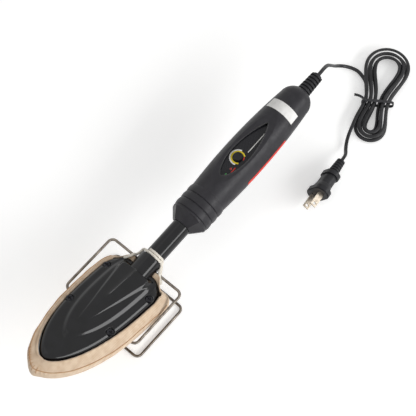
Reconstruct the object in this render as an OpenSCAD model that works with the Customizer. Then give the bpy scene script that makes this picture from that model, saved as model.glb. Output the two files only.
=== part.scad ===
// A small sealing iron for covering film, lying on its bent wire stand.
// The handle's axis runs back from the nose, the shoe and its fabric sock lie on the stand in front,
// and the mains cord falls from the end cap to a tied hank on the bench.

/* [Stand] */
// Diameter of the stand's steel wire
wire_d = 2.6; // [2:0.1:3.4]
// Distance between the rear and front cross wires
stand_len = 61.9; // [54:0.1:76]
// Distance between the two side wires
stand_w = 83.4; // [80:0.1:110]
// Height of the upper loop above the lower one
stand_h = 39.8; // [38:0.1:56]
// Distance between the two uprights at the front
upright_gap = 28; // [20:1:40]
// Width of the dip that takes the neck
dip_w = 23.4; // [22.6:0.1:30]
// Inside of the stand's bends, measured at the wire's centre
bend_r = 5; // [3.5:0.5:7]

/* [Pose] */
// Angle of the handle above the bench while the iron lies on its stand
rest_tilt = 3.6; // [0:0.1:8]
// Angle between the sole and the shaft
sole_angle = 21.1; // [17:0.1:25]
// Distance from the nose of the handle to the rear cross wire of the stand
nose_to_stand = 47.9; // [44:0.1:50]

/* [Shoe] */
// Length of the sole plate
sole_len = 125; // [105:1:140]
// Width of the sole plate
sole_w = 62; // [54:1:66]
// Thickness of the sole plate
sole_t = 11; // [9:0.5:14]
// Length of the shoe's cover
cover_len = 120; // [100:1:134]
// Width of the shoe's cover
cover_w = 60; // [52:1:64]
// Height of the cover's rim band
rim_h = 5; // [3:0.5:8]
// Height of the cover's raised middle above the rim
deck_h = 4; // [2:0.5:7]
// Thickness of the cover's skin
skin_t = 1.6; // [1.2:0.1:2.4]
// Thickness of the insulating sheet under the cover
sheet_t = 1; // [0.6:0.1:2]
// Distance from the nose of the handle to the heel of the sole
shaft_reach = 64.8; // [60:0.1:72]
// Height of the shaft's axis above the heel of the sole
heel_drop = 10.9; // [9:0.1:14]
// Thickness of the fabric of the sock
sock_t = 1.1; // [0.8:0.1:2]
// How far the sock bulges out past the sole plate
sock_ease = 4; // [2:0.5:5]
// Height of the sock's side, from the sole to its drawn edge
sock_h = 15.5; // [13:0.5:16.5]

/* [Neck] */
// Outer diameter of the steel shaft tube
shaft_d = 18; // [14:0.5:20]
// Wall of the shaft tube
shaft_wall = 1.2; // [0.8:0.1:2]
// Outer diameter of the cover's socket around the shaft
socket_d = 22; // [21:0.5:24]

/* [Handle] */
// Length of the handle from its nose to the end cap's end
handle_len = 177; // [160:1:200]
// Largest diameter of the handle
grip_d = 40.8; // [38:0.2:46]
// Radius of the handle's long barrel curve
barrel_r = 667; // [500:1:900]
// Wall of the handle's shells
shell_t = 2.4; // [1.8:0.1:3.2]
// Length of the nose collar
collar_len = 36; // [32:1:42]
// Diameter of the front of the nose
nose_d = 21.2; // [20.4:0.2:26]
// Length of the end cap
cap_len = 15; // [12:1:20]
// Length of the cord guard behind the end cap
guard_len = 22; // [16:1:30]
// Largest diameter of the cord guard
guard_d = 14.2; // [12:0.2:18]

/* [Controls] */
// Distance from the nose to the dial's centre
dial_t = 80; // [74:1:90]
// Diameter of the dial knob
dial_d = 8.8; // [7:0.2:12]
// Height of the dial knob
dial_h = 2.6; // [2:0.1:5]
// Diameter of the dial's shaft
stem_d = 3; // [2:0.1:4]
// Length of the control panel
panel_len = 67; // [60:1:76]
// Width of the control panel
panel_w = 18; // [14:0.5:20]
// Thickness of the control panel
panel_t = 1.2; // [0.8:0.1:2]
// Depth of the thumb scoop below the top of the handle
scoop_depth = 4; // [3:0.1:5]
// Depth of the panel's face below the scoop
panel_sink = 2; // [1:0.1:2.4]
// Diameter of the two lamp lenses
lamp_d = 2.4; // [1.6:0.1:3]
// Length of the coloured strip on each side of the handle
strip_len = 56; // [40:1:70]
// Height of the coloured strip
strip_h = 5.2; // [3:0.1:7]

/* [Cord] */
// Diameter of the mains cord
cord_d = 3.6; // [3:0.1:4]
// Turns in the tied hank
hank_turns = 5; // [5:1:5]
// Sideways step from one turn to the next
hank_step = 4.7; // [4.6:0.1:5]

/* [Plug] */
// Width of a plug blade
blade_w = 6.35; // [6:0.05:6.6]
// Thickness of a plug blade
blade_t = 1.5; // [1.4:0.05:1.6]
// Length of a plug blade outside the plug
blade_len = 16.5; // [15.9:0.1:18.2]
// Distance between the two blades
blade_gap = 12.7; // [12.7:0.1:12.9]
// Diameter of the hole near a blade's tip
blade_hole = 3.18; // [3:0.02:3.3]
// Length of the plug's moulded body
plug_len = 27; // [24:1:36]

/* [Hidden] */
$fn = 48;

slip = 0.05;
rest_gap = 0.3;
soft_gap = 0.3;

// Places of the stand in the bench frame
nose_x = -4.355;
rear_x = nose_x + nose_to_stand;
front_x = rear_x + stand_len;
low_z = wire_d / 2;
top_z = low_z + stand_h;
rail_y = stand_w / 2;

// The sole rests on the front cross wire, and this gives the height of the handle's nose
shoe_tilt = sole_angle - rest_tilt;
heel_x = nose_x + shaft_reach * cos(rest_tilt) - heel_drop * sin(rest_tilt);
seat_off = wire_d / 2 + sock_t + rest_gap;
heel_z = top_z + (seat_off - (front_x - heel_x) * sin(shoe_tilt)) / cos(shoe_tilt);
nose_z = heel_z + heel_drop * cos(rest_tilt) + shaft_reach * sin(rest_tilt);
neck_z = nose_z - (rear_x - nose_x) * tan(rest_tilt);
dip_z = neck_z - (shaft_d / 2) / cos(rest_tilt) - rest_gap - wire_d / 2;

// Shares of the handle's length, measured back from its nose
cap_t = handle_len - cap_len;
grip_r = grip_d / 2;
widest_t = 88;
shaft_r = shaft_d / 2;
tube_back = 24;
scoop_t = 90;
scoop_r = 408;
scoop_x = grip_r - scoop_depth;
face_x = scoop_x - panel_sink;
seat_x = face_x - panel_t;
pad_x = seat_x - 2;
board_x = 4;
board_t = 1.6;
board_w = 24;
pot_top = pad_x - 0.3;
guard_bore = cord_d / 2;

function unit(v) = v / norm(v);
function across(d) = abs(d[2]) < 0.9 ? unit(cross(d, [0, 0, 1])) : [1, 0, 0];

// Height of the barrel's surface above the handle's axis
function barrel(t) = grip_r - barrel_r + sqrt(pow(barrel_r, 2) - pow(t - widest_t, 2));

// Half width of the cover's outline, with its round rear corners, at x along a shoe of length l
function plan(x, l, w) =
    w / 2 * pow(1 - pow(min(1, x / l), 3.4), 0.66)
    * (x < 15 ? 1 - 0.14 * pow(1 - x / 15, 2) : 1);
function plan_side(l, w, inset, steps) = [
    for (i = [0 : steps])
        let (x = inset + (l - 2 * inset) * (1 - pow(1 - i / steps, 1.6)))
        [x, max(0.4, plan(x, l, w) - inset - (i == 0 ? 4 : i == 1 ? 1.2 : 0))]
];
function plan_ring(l, w, inset = 0, steps = 22) =
    let (side = plan_side(l, w, inset, steps))
    concat(
        [for (p = side) [p[0], -p[1]]],
        [for (i = [steps : -1 : 0]) [side[i][0], side[i][1]]]
    );

// Frames of the handle and of the shoe
module on_handle() {
    translate([nose_x, 0, nose_z]) rotate([0, -90 + rest_tilt, 0]) children();
}
module on_shoe() {
    on_handle() translate([-heel_drop, 0, -shaft_reach]) rotate([0, 90 - sole_angle, 0]) children();
}
// Puts a child's local x, y, z along the given directions
module turned(ux, uy, uz, at) {
    multmatrix([
        [ux[0], uy[0], uz[0], at[0]],
        [ux[1], uy[1], uz[1], at[1]],
        [ux[2], uy[2], uz[2], at[2]],
        [0, 0, 0, 1]
    ])
        children();
}

// Round wire along square corners, as straight rods and quarter bends
module bent_wire(points, d, radius) {
    count = len(points);
    for (i = [0 : count - 1]) {
        a = points[i];
        b = points[(i + 1) % count];
        c = points[(i + 2) % count];
        u = unit(b - a);
        v = unit(c - b);
        turned(across(u), cross(u, across(u)), u, a + u * radius[i])
            cylinder(d = d, h = norm(b - a) - radius[i] - radius[(i + 1) % count]);
        r = radius[(i + 1) % count];
        turned(-v, u, cross(u, v), b - u * r + v * r)
            rotate_extrude(angle = 90) translate([r, 0]) circle(d = d);
    }
}

module wire_stand() {
    up = upright_gap / 2;
    dip = dip_w / 2;
    dip_r = 4;
    corner = bend_r;
    half = [
        [rear_x, dip, dip_z, dip_r], [rear_x, dip, top_z, dip_r], [rear_x, rail_y, top_z, corner],
        [front_x, rail_y, top_z, corner], [front_x, up, top_z, corner], [front_x, up, low_z, corner],
        [front_x, rail_y, low_z, corner], [rear_x, rail_y, low_z, corner]
    ];
    count = len(half);
    loop = concat(half, [for (i = [count - 1 : -1 : 0]) [half[i][0], -half[i][1], half[i][2], half[i][3]]]);
    color("silver")
        bent_wire([for (p = loop) [p[0], p[1], p[2]]], wire_d, [for (p = loop) p[3]]);
}

// Levels of the shoe above the bottom of the sole
cover_z = sole_t + sheet_t;
rim_z = cover_z + rim_h;
deck_z = rim_z + deck_h;
deck_len = cover_len * 0.72;
deck_w = cover_w * 0.76;
bay_x = 28;
bay_len = sole_len - 54;
bay_w = 32;
bay_depth = 5;
heater_t = 2.4;
tube_front = 60;
boss_r = shaft_r - shaft_wall - slip;
screw_r = 1.5;
clamp_x = [bay_x + 6, bay_x + bay_len / 2, bay_x + bay_len - 6];
cover_screw_at = [[13.7, 0.843 * cover_w / 2], [0.5225 * cover_len, 0.793 * cover_w / 2]];

module each_cover_screw() {
    for (p = cover_screw_at, side = [-1, 1])
        translate([p[0], side * p[1], 0]) children();
}
// Places a child on the shaft's axis, with z running back to the nose
module on_shaft_in_shoe() {
    rotate([0, sole_angle - 90, 0]) translate([heel_drop, 0, shaft_reach]) children();
}
module sole_slab(z0, h, inset) {
    translate([0, 0, z0]) linear_extrude(h) polygon(plan_ring(sole_len, sole_w, inset));
}

module sole_plate() {
    color("gainsboro") on_shoe() difference() {
        union() {
            sole_slab(0, 0.8, 0.6);
            sole_slab(0.8, sole_t - 0.8, 0);
            intersection() {
                on_shaft_in_shoe() translate([0, 0, -shaft_reach - 8]) cylinder(r = boss_r, h = 30);
                translate([-shaft_reach, -sole_w / 2, 3]) cube([shaft_reach + 20, sole_w, 4 * sole_t]);
            }
        }
        translate([bay_x, -bay_w / 2, sole_t - bay_depth]) cube([bay_len, bay_w, bay_depth + 1]);
        for (x = clamp_x) translate([x, 0, 2]) cylinder(r = screw_r, h = sole_t);
        each_cover_screw() translate([0, 0, 3]) cylinder(r = screw_r, h = sole_t);
        translate([19, 12, 4]) cylinder(r = 2.5, h = sole_t);
        on_shaft_in_shoe() translate([0, 0, -shaft_reach - 12]) cylinder(r = 4, h = shaft_reach);
    }
}

module heating_element() {
    color("tan") on_shoe() difference() {
        translate([bay_x + 0.3, 0.3 - bay_w / 2, sole_t - bay_depth])
            cube([bay_len - 0.6, bay_w - 0.6, heater_t]);
        for (x = clamp_x) translate([x, 0, 0]) cylinder(r = screw_r + 0.2, h = sole_t);
    }
}

module thermal_sensor() {
    color("white") on_shoe() translate([19, 12, 4]) {
        cylinder(r = 2.5 - slip, h = 6);
        translate([0, 0, 6]) cylinder(r = 1.2, h = 3);
    }
}

module clamp_plate() {
    color("silver") on_shoe() difference() {
        translate([bay_x + 0.3, 0.3 - bay_w / 2, sole_t - bay_depth + heater_t])
            cube([bay_len - 0.6, bay_w - 0.6, bay_depth - heater_t]);
        for (x = clamp_x) translate([x, 0, 0]) cylinder(r = screw_r + 0.2, h = sole_t + 1);
        for (side = [-1, 1]) translate([bay_x + 2, side * 9, 0]) cylinder(r = 1.6, h = sole_t + 1);
    }
}

module clamp_screws() {
    color("dimgray") on_shoe() for (x = clamp_x) translate([x, 0, 3]) {
        cylinder(r = screw_r - slip, h = sole_t - 3);
        translate([0, 0, sole_t - 3]) cylinder(r = 2.8, h = 1.8);
    }
}

module insulating_sheet() {
    color("wheat") on_shoe() difference() {
        translate([0, 0, sole_t]) linear_extrude(sheet_t) polygon(plan_ring(cover_len, cover_w, 1));
        translate([-5, -14, 0]) cube([27, 28, 40]);
        for (x = clamp_x) translate([x, 0, 0]) cylinder(r = 3.2, h = 40);
        for (side = [-1, 1]) translate([bay_x + 2, side * 9, 0]) cylinder(r = 2, h = 40);
        each_cover_screw() cylinder(r = screw_r + 0.2, h = 40);
    }
}

// Solid between two levels with the cover's outline, l long and w wide, drawn in by inset
module cover_slab(z0, z1, l, w, inset = 0) {
    translate([0, 0, z0]) linear_extrude(z1 - z0) polygon(plan_ring(l, w, inset));
}

heel_block_out = 3;
heel_block_w = 26;
module cover_shape() {
    cover_slab(cover_z, rim_z - 0.8, cover_len, cover_w);
    cover_slab(rim_z - 0.8, rim_z, cover_len, cover_w, 0.8);
    cover_slab(cover_z, deck_z - 0.9, deck_len, deck_w);
    cover_slab(deck_z - 0.9, deck_z, deck_len, deck_w, 1);
    translate([-heel_block_out, -heel_block_w / 2, cover_z])
        cube([heel_block_out + 5, heel_block_w, rim_h + 2]);
    // The spine tapers from the neck to a point past the middle of the deck
    intersection() {
        translate([1, 0, deck_z - 5.6]) rotate([0, 90, 0]) cylinder(r1 = 10, r2 = 2.4, h = 67);
        translate([0, -15, cover_z]) cube([80, 30, 30]);
    }
    // The socket wraps the shaft behind the heel, and ends on the cover's own level in front of it
    intersection() {
        on_shaft_in_shoe() translate([0, 0, -shaft_reach - 7])
            cylinder(d = socket_d, h = shaft_reach + 7 - 51);
        union() {
            translate([-30, -30, cover_z]) cube([60, 60, 40]);
            translate([-30, -30, -10]) cube([29.2, 60, 60]);
        }
    }
}

module shoe_cover() {
    color("#17171a") on_shoe() difference() {
        cover_shape();
        difference() {
            union() {
                cover_slab(cover_z - 1, rim_z - skin_t, cover_len, cover_w, skin_t);
                cover_slab(cover_z - 1, deck_z - skin_t, deck_len, deck_w, skin_t);
            }
            each_cover_screw() cylinder(r = 4.8, h = 40);
            translate([-10, -20, 0]) cube([19, 40, 60]);
        }
        on_shaft_in_shoe() translate([0, 0, -shaft_reach - 12])
            cylinder(r = shaft_r + slip, h = shaft_reach);
        each_cover_screw() {
            cylinder(r = screw_r + 0.2, h = 40);
            translate([0, 0, rim_z - 3]) cylinder(r = 3.8, h = 20);
        }
        translate([deck_len * 0.03, -30, deck_z - 0.5]) cube([0.8, 60, 1]);
    }
}

module cover_screws() {
    color("#2b2b2e") on_shoe() each_cover_screw() difference() {
        union() {
            translate([0, 0, 3.2]) cylinder(r = screw_r - slip, h = rim_z - 6);
            translate([0, 0, rim_z - 3]) cylinder(r = 3.1, h = 2.2);
        }
        translate([0, 0, rim_z - 2]) linear_extrude(3) square([4, 0.9], center = true);
        translate([0, 0, rim_z - 2]) linear_extrude(3) square([0.9, 4], center = true);
    }
}

// Tube swept along a list of points by parallel transport, closed or with flat ends
function ways(p, closed) = [
    for (i = [0 : len(p) - 1])
        let (
            a = closed ? p[(i + len(p) - 1) % len(p)] : p[max(0, i - 1)],
            b = closed ? p[(i + 1) % len(p)] : p[min(len(p) - 1, i + 1)]
        )
        unit(b - a)
];
function square_to(v, d) = unit(v - (v * d) * d);
function sides_along(w, first) = [
    for (i = 0, n = square_to(first, w[0]); i < len(w);
        i = i + 1, n = i < len(w) ? square_to(n, w[i]) : n) n
];
function tube_rings(p, d, sides, w, n) = [
    for (i = [0 : len(p) - 1], k = [0 : sides - 1])
        let (angle = 360 * (k + 0.5) / sides)
        p[i] + d / 2 * (cos(angle) * n[i] + sin(angle) * cross(w[i], n[i]))
];
function tube_faces(rings, sides, closed) = concat(
    [
        for (i = [0 : rings - (closed ? 1 : 2)], k = [0 : sides - 1], half = [0, 1])
            let (
                j = (i + 1) % rings,
                m = (k + 1) % sides,
                a = i * sides + k,
                b = i * sides + m,
                c = j * sides + m,
                e = j * sides + k
            )
            half == 0 ? [a, c, b] : [a, e, c]
    ],
    closed ? [] : [for (k = [1 : sides - 2]) [0, k, k + 1]],
    closed ? [] : [for (k = [1 : sides - 2]) let (s = (rings - 1) * sides) [s, s + k + 1, s + k]]
);
module tube(p, d, sides = 8, closed = false, first = [0, 0, 1]) {
    w = ways(p, closed);
    polyhedron(tube_rings(p, d, sides, w, sides_along(w, first)), tube_faces(len(p), sides, closed));
}
// Smooth line through hand points, with a number of steps between each two
function smooth(p, steps) = concat(
    [
        for (i = [0 : len(p) - 2], s = [0 : steps - 1])
            let (
                a = p[max(0, i - 1)],
                b = p[i],
                c = p[i + 1],
                d = p[min(len(p) - 1, i + 2)],
                t = s / steps
            )
            0.5 * (2 * b + (c - a) * t + (2 * a - 5 * b + 4 * c - d) * t * t
                + (3 * b - a - 3 * c + d) * t * t * t)
    ],
    [p[len(p) - 1]]
);

// The sock's skin as rings round the sole: how far out of the sole's outline, and how high
sock_out = [
    [-0.4, -sock_t], [sock_t + 0.5, 0.2], [sock_ease - 0.6, 4.5], [sock_ease, 9],
    [sock_ease - 1, 12.8], [sock_t + 0.8, sock_h]
];
sock_in = [
    [0.8, sock_h], [sock_ease - 1 - sock_t, 12.8], [sock_ease - sock_t, 9],
    [sock_ease - 0.6 - sock_t, 4.5], [0.6, 0.2], [0.5, 0]
];
sock_steps = 22;
sock_count = 2 * (sock_steps + 1);
// The sock follows the sole, and above it the larger of the sole and the cover with its margin
hood_len = max(sole_len, cover_len + 5);
hood_w = max(sole_w, cover_w + 2);
function sock_ring(out, z) =
    let (length = z > sole_t ? hood_len : sole_len, wide = z > sole_t ? hood_w : sole_w)
    [for (p = plan_ring(length + 2 * out, wide + 2 * out, 0, sock_steps)) [p[0] - out, p[1], z]];
module sock_skin() {
    rings = concat(sock_out, sock_in);
    points = [for (r = rings) for (p = sock_ring(r[0], r[1])) p];
    count = sock_count;
    last = len(rings) - 1;
    faces = concat(
        [
            for (i = [0 : last - 1], k = [0 : count - 1], half = [0, 1])
                let (m = (k + 1) % count, a = i * count + k, b = i * count + m)
                half == 0 ? [a, b + count, b] : [a, a + count, b + count]
        ],
        [[for (k = [0 : count - 1]) k]],
        [[for (k = [count - 1 : -1 : 0]) last * count + k]]
    );
    polyhedron(points, faces);
}
module sock() {
    color("#d8bfa3") on_shoe() difference() {
        sock_skin();
        on_shaft_in_shoe() translate([0, 0, -shaft_reach - 4])
            cylinder(d = socket_d + 2 * soft_gap, h = shaft_reach / 2);
        translate([-heel_block_out, -heel_block_w / 2, cover_z] - soft_gap * [1, 1, 1])
            cube([heel_block_out, heel_block_w, sock_h] + soft_gap * [1, 2, 1]);
    }
}

// The drawstring lies on the sock's drawn edge and crosses over the neck between its two knots
string_d = 2.4;
module drawstring() {
    level = sock_h + string_d / 2 + 0.1;
    round_toe = [for (p = sock_ring(sock_t + 1.3, level)) if (abs(p[1]) > 2) p];
    knot = round_toe[len(round_toe) - 1];
    strand_x = -5;
    neck_top = heel_drop + (1 - strand_x) * tan(sole_angle) + socket_d / 2 / cos(sole_angle);
    crest = neck_top + string_d / 2 + soft_gap;
    over = [[strand_x + 1.5, 15, crest - 6.5], [strand_x + 0.5, 8, crest - 1.2]];
    strand = concat([for (p = over) [p[0], -p[1], p[2]]], [[strand_x, 0, crest]], [over[1], over[0]]);
    color("#e8e1d6") on_shoe() {
        tube(round_toe, string_d, 8);
        tube(smooth(concat([[knot[0], -knot[1], level]], strand, [knot]), 2), string_d, 8);
        for (side = [-1, 1]) translate([knot[0], side * knot[1], level - string_d / 2])
            cylinder(r = 2.6, h = string_d + 1.2, $fn = 10);
    }
}

module shaft_tube() {
    color("#17171a") on_handle() difference() {
        translate([0, 0, -tube_front]) cylinder(d = shaft_d, h = tube_front + tube_back);
        translate([0, 0, -tube_front - 1])
            cylinder(d = shaft_d - 2 * shaft_wall, h = tube_front + tube_back + 2);
    }
}

// Two leads from the heater, down the shaft to the circuit board
lead_d = 1.6;
module heater_leads() {
    color("ivory") on_handle() for (side = [-1, 1])
        tube(smooth([[0, side * 2, -shaft_reach - 9], [0, side * 2, -shaft_reach / 2], [0, side * 2.2, 8],
            [0.8, side * 3, collar_len], [board_x - lead_d, side * 4, board_from - 1],
            [board_x - lead_d / 2 - slip, side * 4, triac_from - 6]], 3),
            lead_d, 8, false, [1, 0, 0]);
}

// The nose is a faceted cone with soft rings behind it, and its rear end follows the barrel
cone_len = 9.5;
ring_pitch = 8;
ring_h = 0.7;
ring_r = barrel(collar_len) + 0.43;
function ring_points(t) = [
    [ring_r + 0.1, t - 3], [ring_r + ring_h, t - 1.4], [ring_r + ring_h, t + 1.4], [ring_r + 0.1, t + 3]
];
module nose_profile() {
    polygon(concat(
        [[0, 0], [nose_d / 2, 0], [ring_r - 0.4, cone_len]],
        [for (i = [2 : -1 : 0]) each ring_points(collar_len - 4 - i * ring_pitch)],
        [[ring_r, collar_len], [0, collar_len]]
    ));
}
module nose_collar() {
    color("#3a393d") on_handle() difference() {
        intersection() {
            rotate_extrude($fn = 96) nose_profile();
            union() {
                rotate([0, 0, 22.5]) linear_extrude(cone_len + 0.1, scale = 2 * (ring_r + 0.1) / nose_d)
                    circle(d = nose_d * 1.06, $fn = 8);
                translate([0, 0, cone_len + 0.05]) cylinder(d = grip_d, h = collar_len);
            }
        }
        translate([0, 0, -1]) cylinder(r = shaft_r + slip, h = tube_back + 1.2);
        translate([0, 0, tube_back]) cylinder(r = shaft_r - 2, h = collar_len);
    }
}

// Solid of the barrel's curve between two places along the handle, drawn in by inset
module barrel_solid(t0, t1, inset = 0) {
    rotate_extrude($fn = 96) intersection() {
        translate([grip_r - barrel_r - inset, widest_t]) circle(r = barrel_r, $fn = 1440);
        translate([0, t0]) square([40, t1 - t0]);
    }
}
// Outline of the leaf-shaped panel, pointed towards the nose and rounder behind
module leaf(grow = 0) {
    front = dial_t + 9.5 - panel_len / 2 - grow;
    back = dial_t + 9.5 + panel_len / 2 + grow;
    half = panel_w / 2 + grow;
    steps = 14;
    polygon([
        for (side = [-1, 1], i = [0 : steps])
            let (
                k = side < 0 ? i / steps : 1 - i / steps,
                y = pow(sin(180 * pow(k, 0.8)), 0.72)
            )
            [front + (back - front) * k, side * half * max(0.06, y)]
    ]);
}
// Prism of the leaf between two heights in the handle's frame
module leaf_block(x0, x1, grow = 0) {
    turned([0, 0, 1], [0, 1, 0], [-1, 0, 0], [x1, 0, 0]) linear_extrude(x1 - x0) leaf(grow);
}
// Upright cylinder in the handle's frame, from height x0 to x1
module pillar(x0, x1, y, t, r) {
    translate([x0, y, t]) rotate([0, 90, 0]) cylinder(r = r, h = x1 - x0);
}

shell_screw_t = [collar_len + 10, cap_t - 30];
shell_screw_y = 9;
head_x = -10;
board_from = shell_screw_t[0] + 7;
board_to = shell_screw_t[1] - 9;
post_t = [board_from + 4, board_to - 4];
post_y = 9;
strip_t = 98;
strip_depth = 1.2;
module each_shell_screw() {
    for (t = shell_screw_t, side = [-1, 1]) translate([0, side * shell_screw_y, t]) children();
}

module handle_shell(side) {
    difference() {
        intersection() {
            barrel_solid(collar_len, cap_t);
            translate([side > 0 ? 0 : -40, -40, 0]) cube([40, 80, handle_len]);
        }
        difference() {
            barrel_solid(collar_len - 1, cap_t + 1, shell_t);
            if (side > 0)
                translate([pad_x, -15, scoop_t - 42]) cube([20, 30, 84]);
            each_shell_screw() pillar(-30, 30, 0, 0, 3.6);
            if (side < 0)
                for (t = post_t, s = [-1, 1]) pillar(-30, 0, s * post_y, t, 2.2);
        }
        side_strips(slip);
    }
}
module side_strips(grow) {
    flat = strip_len - strip_h;
    for (s = [-1, 1]) intersection() {
        difference() {
            barrel_solid(40, 150, grow > 0 ? -1 : -0.15);
            barrel_solid(30, 160, strip_depth + grow);
        }
        translate([0, s > 0 ? 0 : -40, 0]) rotate([-90, 0, 0]) linear_extrude(40) {
            translate([-strip_h / 2 - grow, -strip_t - flat / 2]) square([strip_h + 2 * grow, flat]);
            for (e = [-1, 1]) translate([0, -strip_t + e * flat / 2]) circle(d = strip_h + 2 * grow);
        }
    }
}

module handle_bottom_shell() {
    color("#3a393d") on_handle() {
        difference() {
            handle_shell(-1);
            each_shell_screw() {
                pillar(-30, head_x, 0, 0, 2.9);
                pillar(-30, 30, 0, 0, 1.6);
            }
        }
        for (t = post_t, s = [-1, 1]) pillar(-1, board_x, s * post_y, t, 2.2);
    }
}

module handle_top_shell() {
    color("#3a393d") on_handle() difference() {
        handle_shell(1);
        translate([scoop_x + scoop_r, grip_d, scoop_t]) rotate([90, 0, 0])
            cylinder(r = scoop_r, h = 2 * grip_d, $fn = 1440);
        leaf_block(seat_x, grip_r + 1, slip);
        pillar(0, grip_r, 0, dial_t, stem_d / 2 + 0.6);
        for (p = lamp_at) pillar(0, grip_r, p[0], p[1], lamp_d / 2 + 0.3);
        each_shell_screw() pillar(-1, 8, 0, 0, 1.4 + slip);
    }
}
lamp_at = [[2.5, 67], [2.5, 60]];

module shell_screws() {
    color("dimgray") on_handle() each_shell_screw() difference() {
        union() {
            pillar(head_x - 1.8, head_x, 0, 0, 2.7);
            pillar(head_x - 0.5, 7.6, 0, 0, 1.4);
        }
        translate([head_x - 1.9, -2, -0.35]) cube([0.9, 4, 0.7]);
        translate([head_x - 1.9, -0.35, -2]) cube([0.9, 0.7, 4]);
    }
}

module side_strip(side) {
    color("#c8281e") on_handle() intersection() {
        side_strips(0);
        translate([-20, side > 0 ? 0 : -40, 0]) cube([40, 40, handle_len]);
    }
}
module side_strip_left() {
    side_strip(-1);
}
module side_strip_right() {
    side_strip(1);
}

module control_panel() {
    color("#202024") on_handle() difference() {
        leaf_block(seat_x, face_x);
        pillar(0, grip_r, 0, dial_t, stem_d / 2 + 0.3);
        for (p = lamp_at) pillar(0, grip_r, p[0], p[1], lamp_d / 2 + slip);
    }
}

module dial_knob() {
    color("#101012") on_handle() translate([face_x + 0.3, 0, dial_t]) rotate([0, 90, 0]) difference() {
        cylinder(d = dial_d, h = dial_h);
        translate([0, 0, -1]) cylinder(d = stem_d, h = dial_h + 0.2);
        for (a = [0 : 20 : 339]) rotate([0, 0, a]) translate([dial_d / 2 + 0.25, 0, 0.8])
            cylinder(r = 0.6, h = 2 * dial_h);
        translate([-dial_d / 2 - 1, -0.3, dial_h - 0.5]) cube([dial_d / 2 - 0.6, 0.6, 1]);
    }
}
module dial_shaft() {
    color("gainsboro") on_handle()
        pillar(board_x + board_t + 0.8, face_x + 0.3 + dial_h - 0.8, 0, dial_t, stem_d / 2);
}
module potentiometer() {
    color("#4a4e58") on_handle() difference() {
        union() {
            pillar(board_x + board_t, pot_top, 0, dial_t, 6);
            translate([board_x + board_t, -6, dial_t - 9]) cube([2, 12, 6]);
        }
        pillar(board_x + board_t + 0.5, grip_r, 0, dial_t, stem_d / 2 + slip);
    }
}

module lamp(p, shade) {
    color(shade) on_handle() {
        pillar(board_x + board_t, face_x + 0.35, p[0], p[1], lamp_d / 2);
        pillar(board_x + board_t, board_x + board_t + 1, p[0], p[1], lamp_d / 2 + 0.4);
    }
}
module power_lamp() {
    lamp(lamp_at[0], "red");
}
module ready_lamp() {
    lamp(lamp_at[1], "limegreen");
}

module circuit_board() {
    color("darkgreen") on_handle() difference() {
        translate([board_x, -board_w / 2, board_from]) cube([board_t, board_w, board_to - board_from]);
        for (t = post_t, s = [-1, 1]) pillar(0, 10, s * post_y, t, 1);
    }
}
triac_from = board_from + 15;
triac_t = 4.6;
triac_tab_t = 1.3;
module triac() {
    color("#1c1c1e") on_handle() {
        translate([board_x - triac_t, -9, triac_from]) cube([triac_t, 10, 14]);
        translate([board_x - triac_tab_t, -9, triac_from + 14]) cube([triac_tab_t, 10, 6]);
    }
}
capacitor_size = [11, 10, 16];
module capacitor() {
    color("goldenrod") on_handle() translate([board_x - capacitor_size[0], 1.4, board_to - 27])
        cube(capacitor_size);
}
// The block fills the room between the board and the underside of the panel's pad
block_len = 9;
block_from = board_to - block_len - 4;
block_h = pad_x - 0.6 - board_x - board_t;
wire_y = 3.4;
wire_x = board_x + board_t + 1.8;
module terminal_block() {
    color("seagreen") on_handle() difference() {
        translate([board_x + board_t, -7, block_from]) cube([block_h, 14, block_len]);
        for (s = [-1, 1]) {
            pillar(wire_x + 0.2, pad_x, s * wire_y, block_from + block_len / 2, 1.6);
            translate([wire_x, s * wire_y, block_from + block_len - 3]) cylinder(r = 1, h = 4);
        }
    }
}

module rating_label() {
    color("white") on_handle() rotate([0, 0, -48]) rotate_extrude(angle = 105, $fn = 96) difference() {
        intersection() {
            translate([grip_r - barrel_r + 0.25, widest_t]) circle(r = barrel_r, $fn = 1440);
            translate([5, cap_t - 24]) square([40, 11]);
        }
        translate([grip_r - barrel_r, widest_t]) circle(r = barrel_r, $fn = 1440);
    }
}

cap_r = barrel(cap_t);
guard_r = guard_d / 2;
cap_floor = 1;
module end_cap() {
    color("#3a393d") on_handle() difference() {
        rotate_extrude($fn = 96) difference() {
            union() {
                intersection() {
                    translate([0, cap_t]) square([cap_r, cap_len]);
                    translate([cap_r - 15, cap_t]) circle(r = cap_len, $fn = 240);
                }
                translate([0, cap_t]) square([cap_r - 14.9, cap_len]);
                translate([0, cap_t - 4]) square([cap_r - shell_t - slip, 4.1]);
            }
            translate([0, cap_t - 5]) square([cap_r - shell_t - 2.4, 5 + cap_floor]);
        }
        cylinder(r = guard_r - 1.6 + slip, h = 2 * handle_len);
    }
}

// Ribbed cord guard; its root sits in the end cap and its bore is the cord's
rib_count = 6;
module cord_guard() {
    step = guard_len / rib_count;
    taper = 1.1 / guard_len;
    color("#242427") on_handle() difference() {
        union() {
            translate([0, 0, cap_t]) cylinder(r = guard_r - 1.6, h = cap_len + 0.1);
            translate([0, 0, cap_t - 1]) cylinder(r = guard_r + 0.6, h = cap_floor + 1 - slip);
            translate([0, 0, handle_len]) cylinder(r1 = guard_r - 2, r2 = guard_r - 2.9, h = guard_len);
            for (i = [0 : rib_count - 1]) translate([0, 0, handle_len + i * step]) {
                rib_r = guard_r - taper * i * step;
                cylinder(r1 = rib_r, r2 = rib_r - 0.3, h = step * 0.58);
            }
            for (s = [-1, 1]) translate([-1.1, s * (guard_r - 2.6) - 1.3, handle_len])
                cube([2.2, 2.6, guard_len - 1]);
        }
        translate([0, 0, cap_t - 2]) cylinder(r = guard_bore + slip, h = guard_len + cap_len + 4);
    }
}

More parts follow.
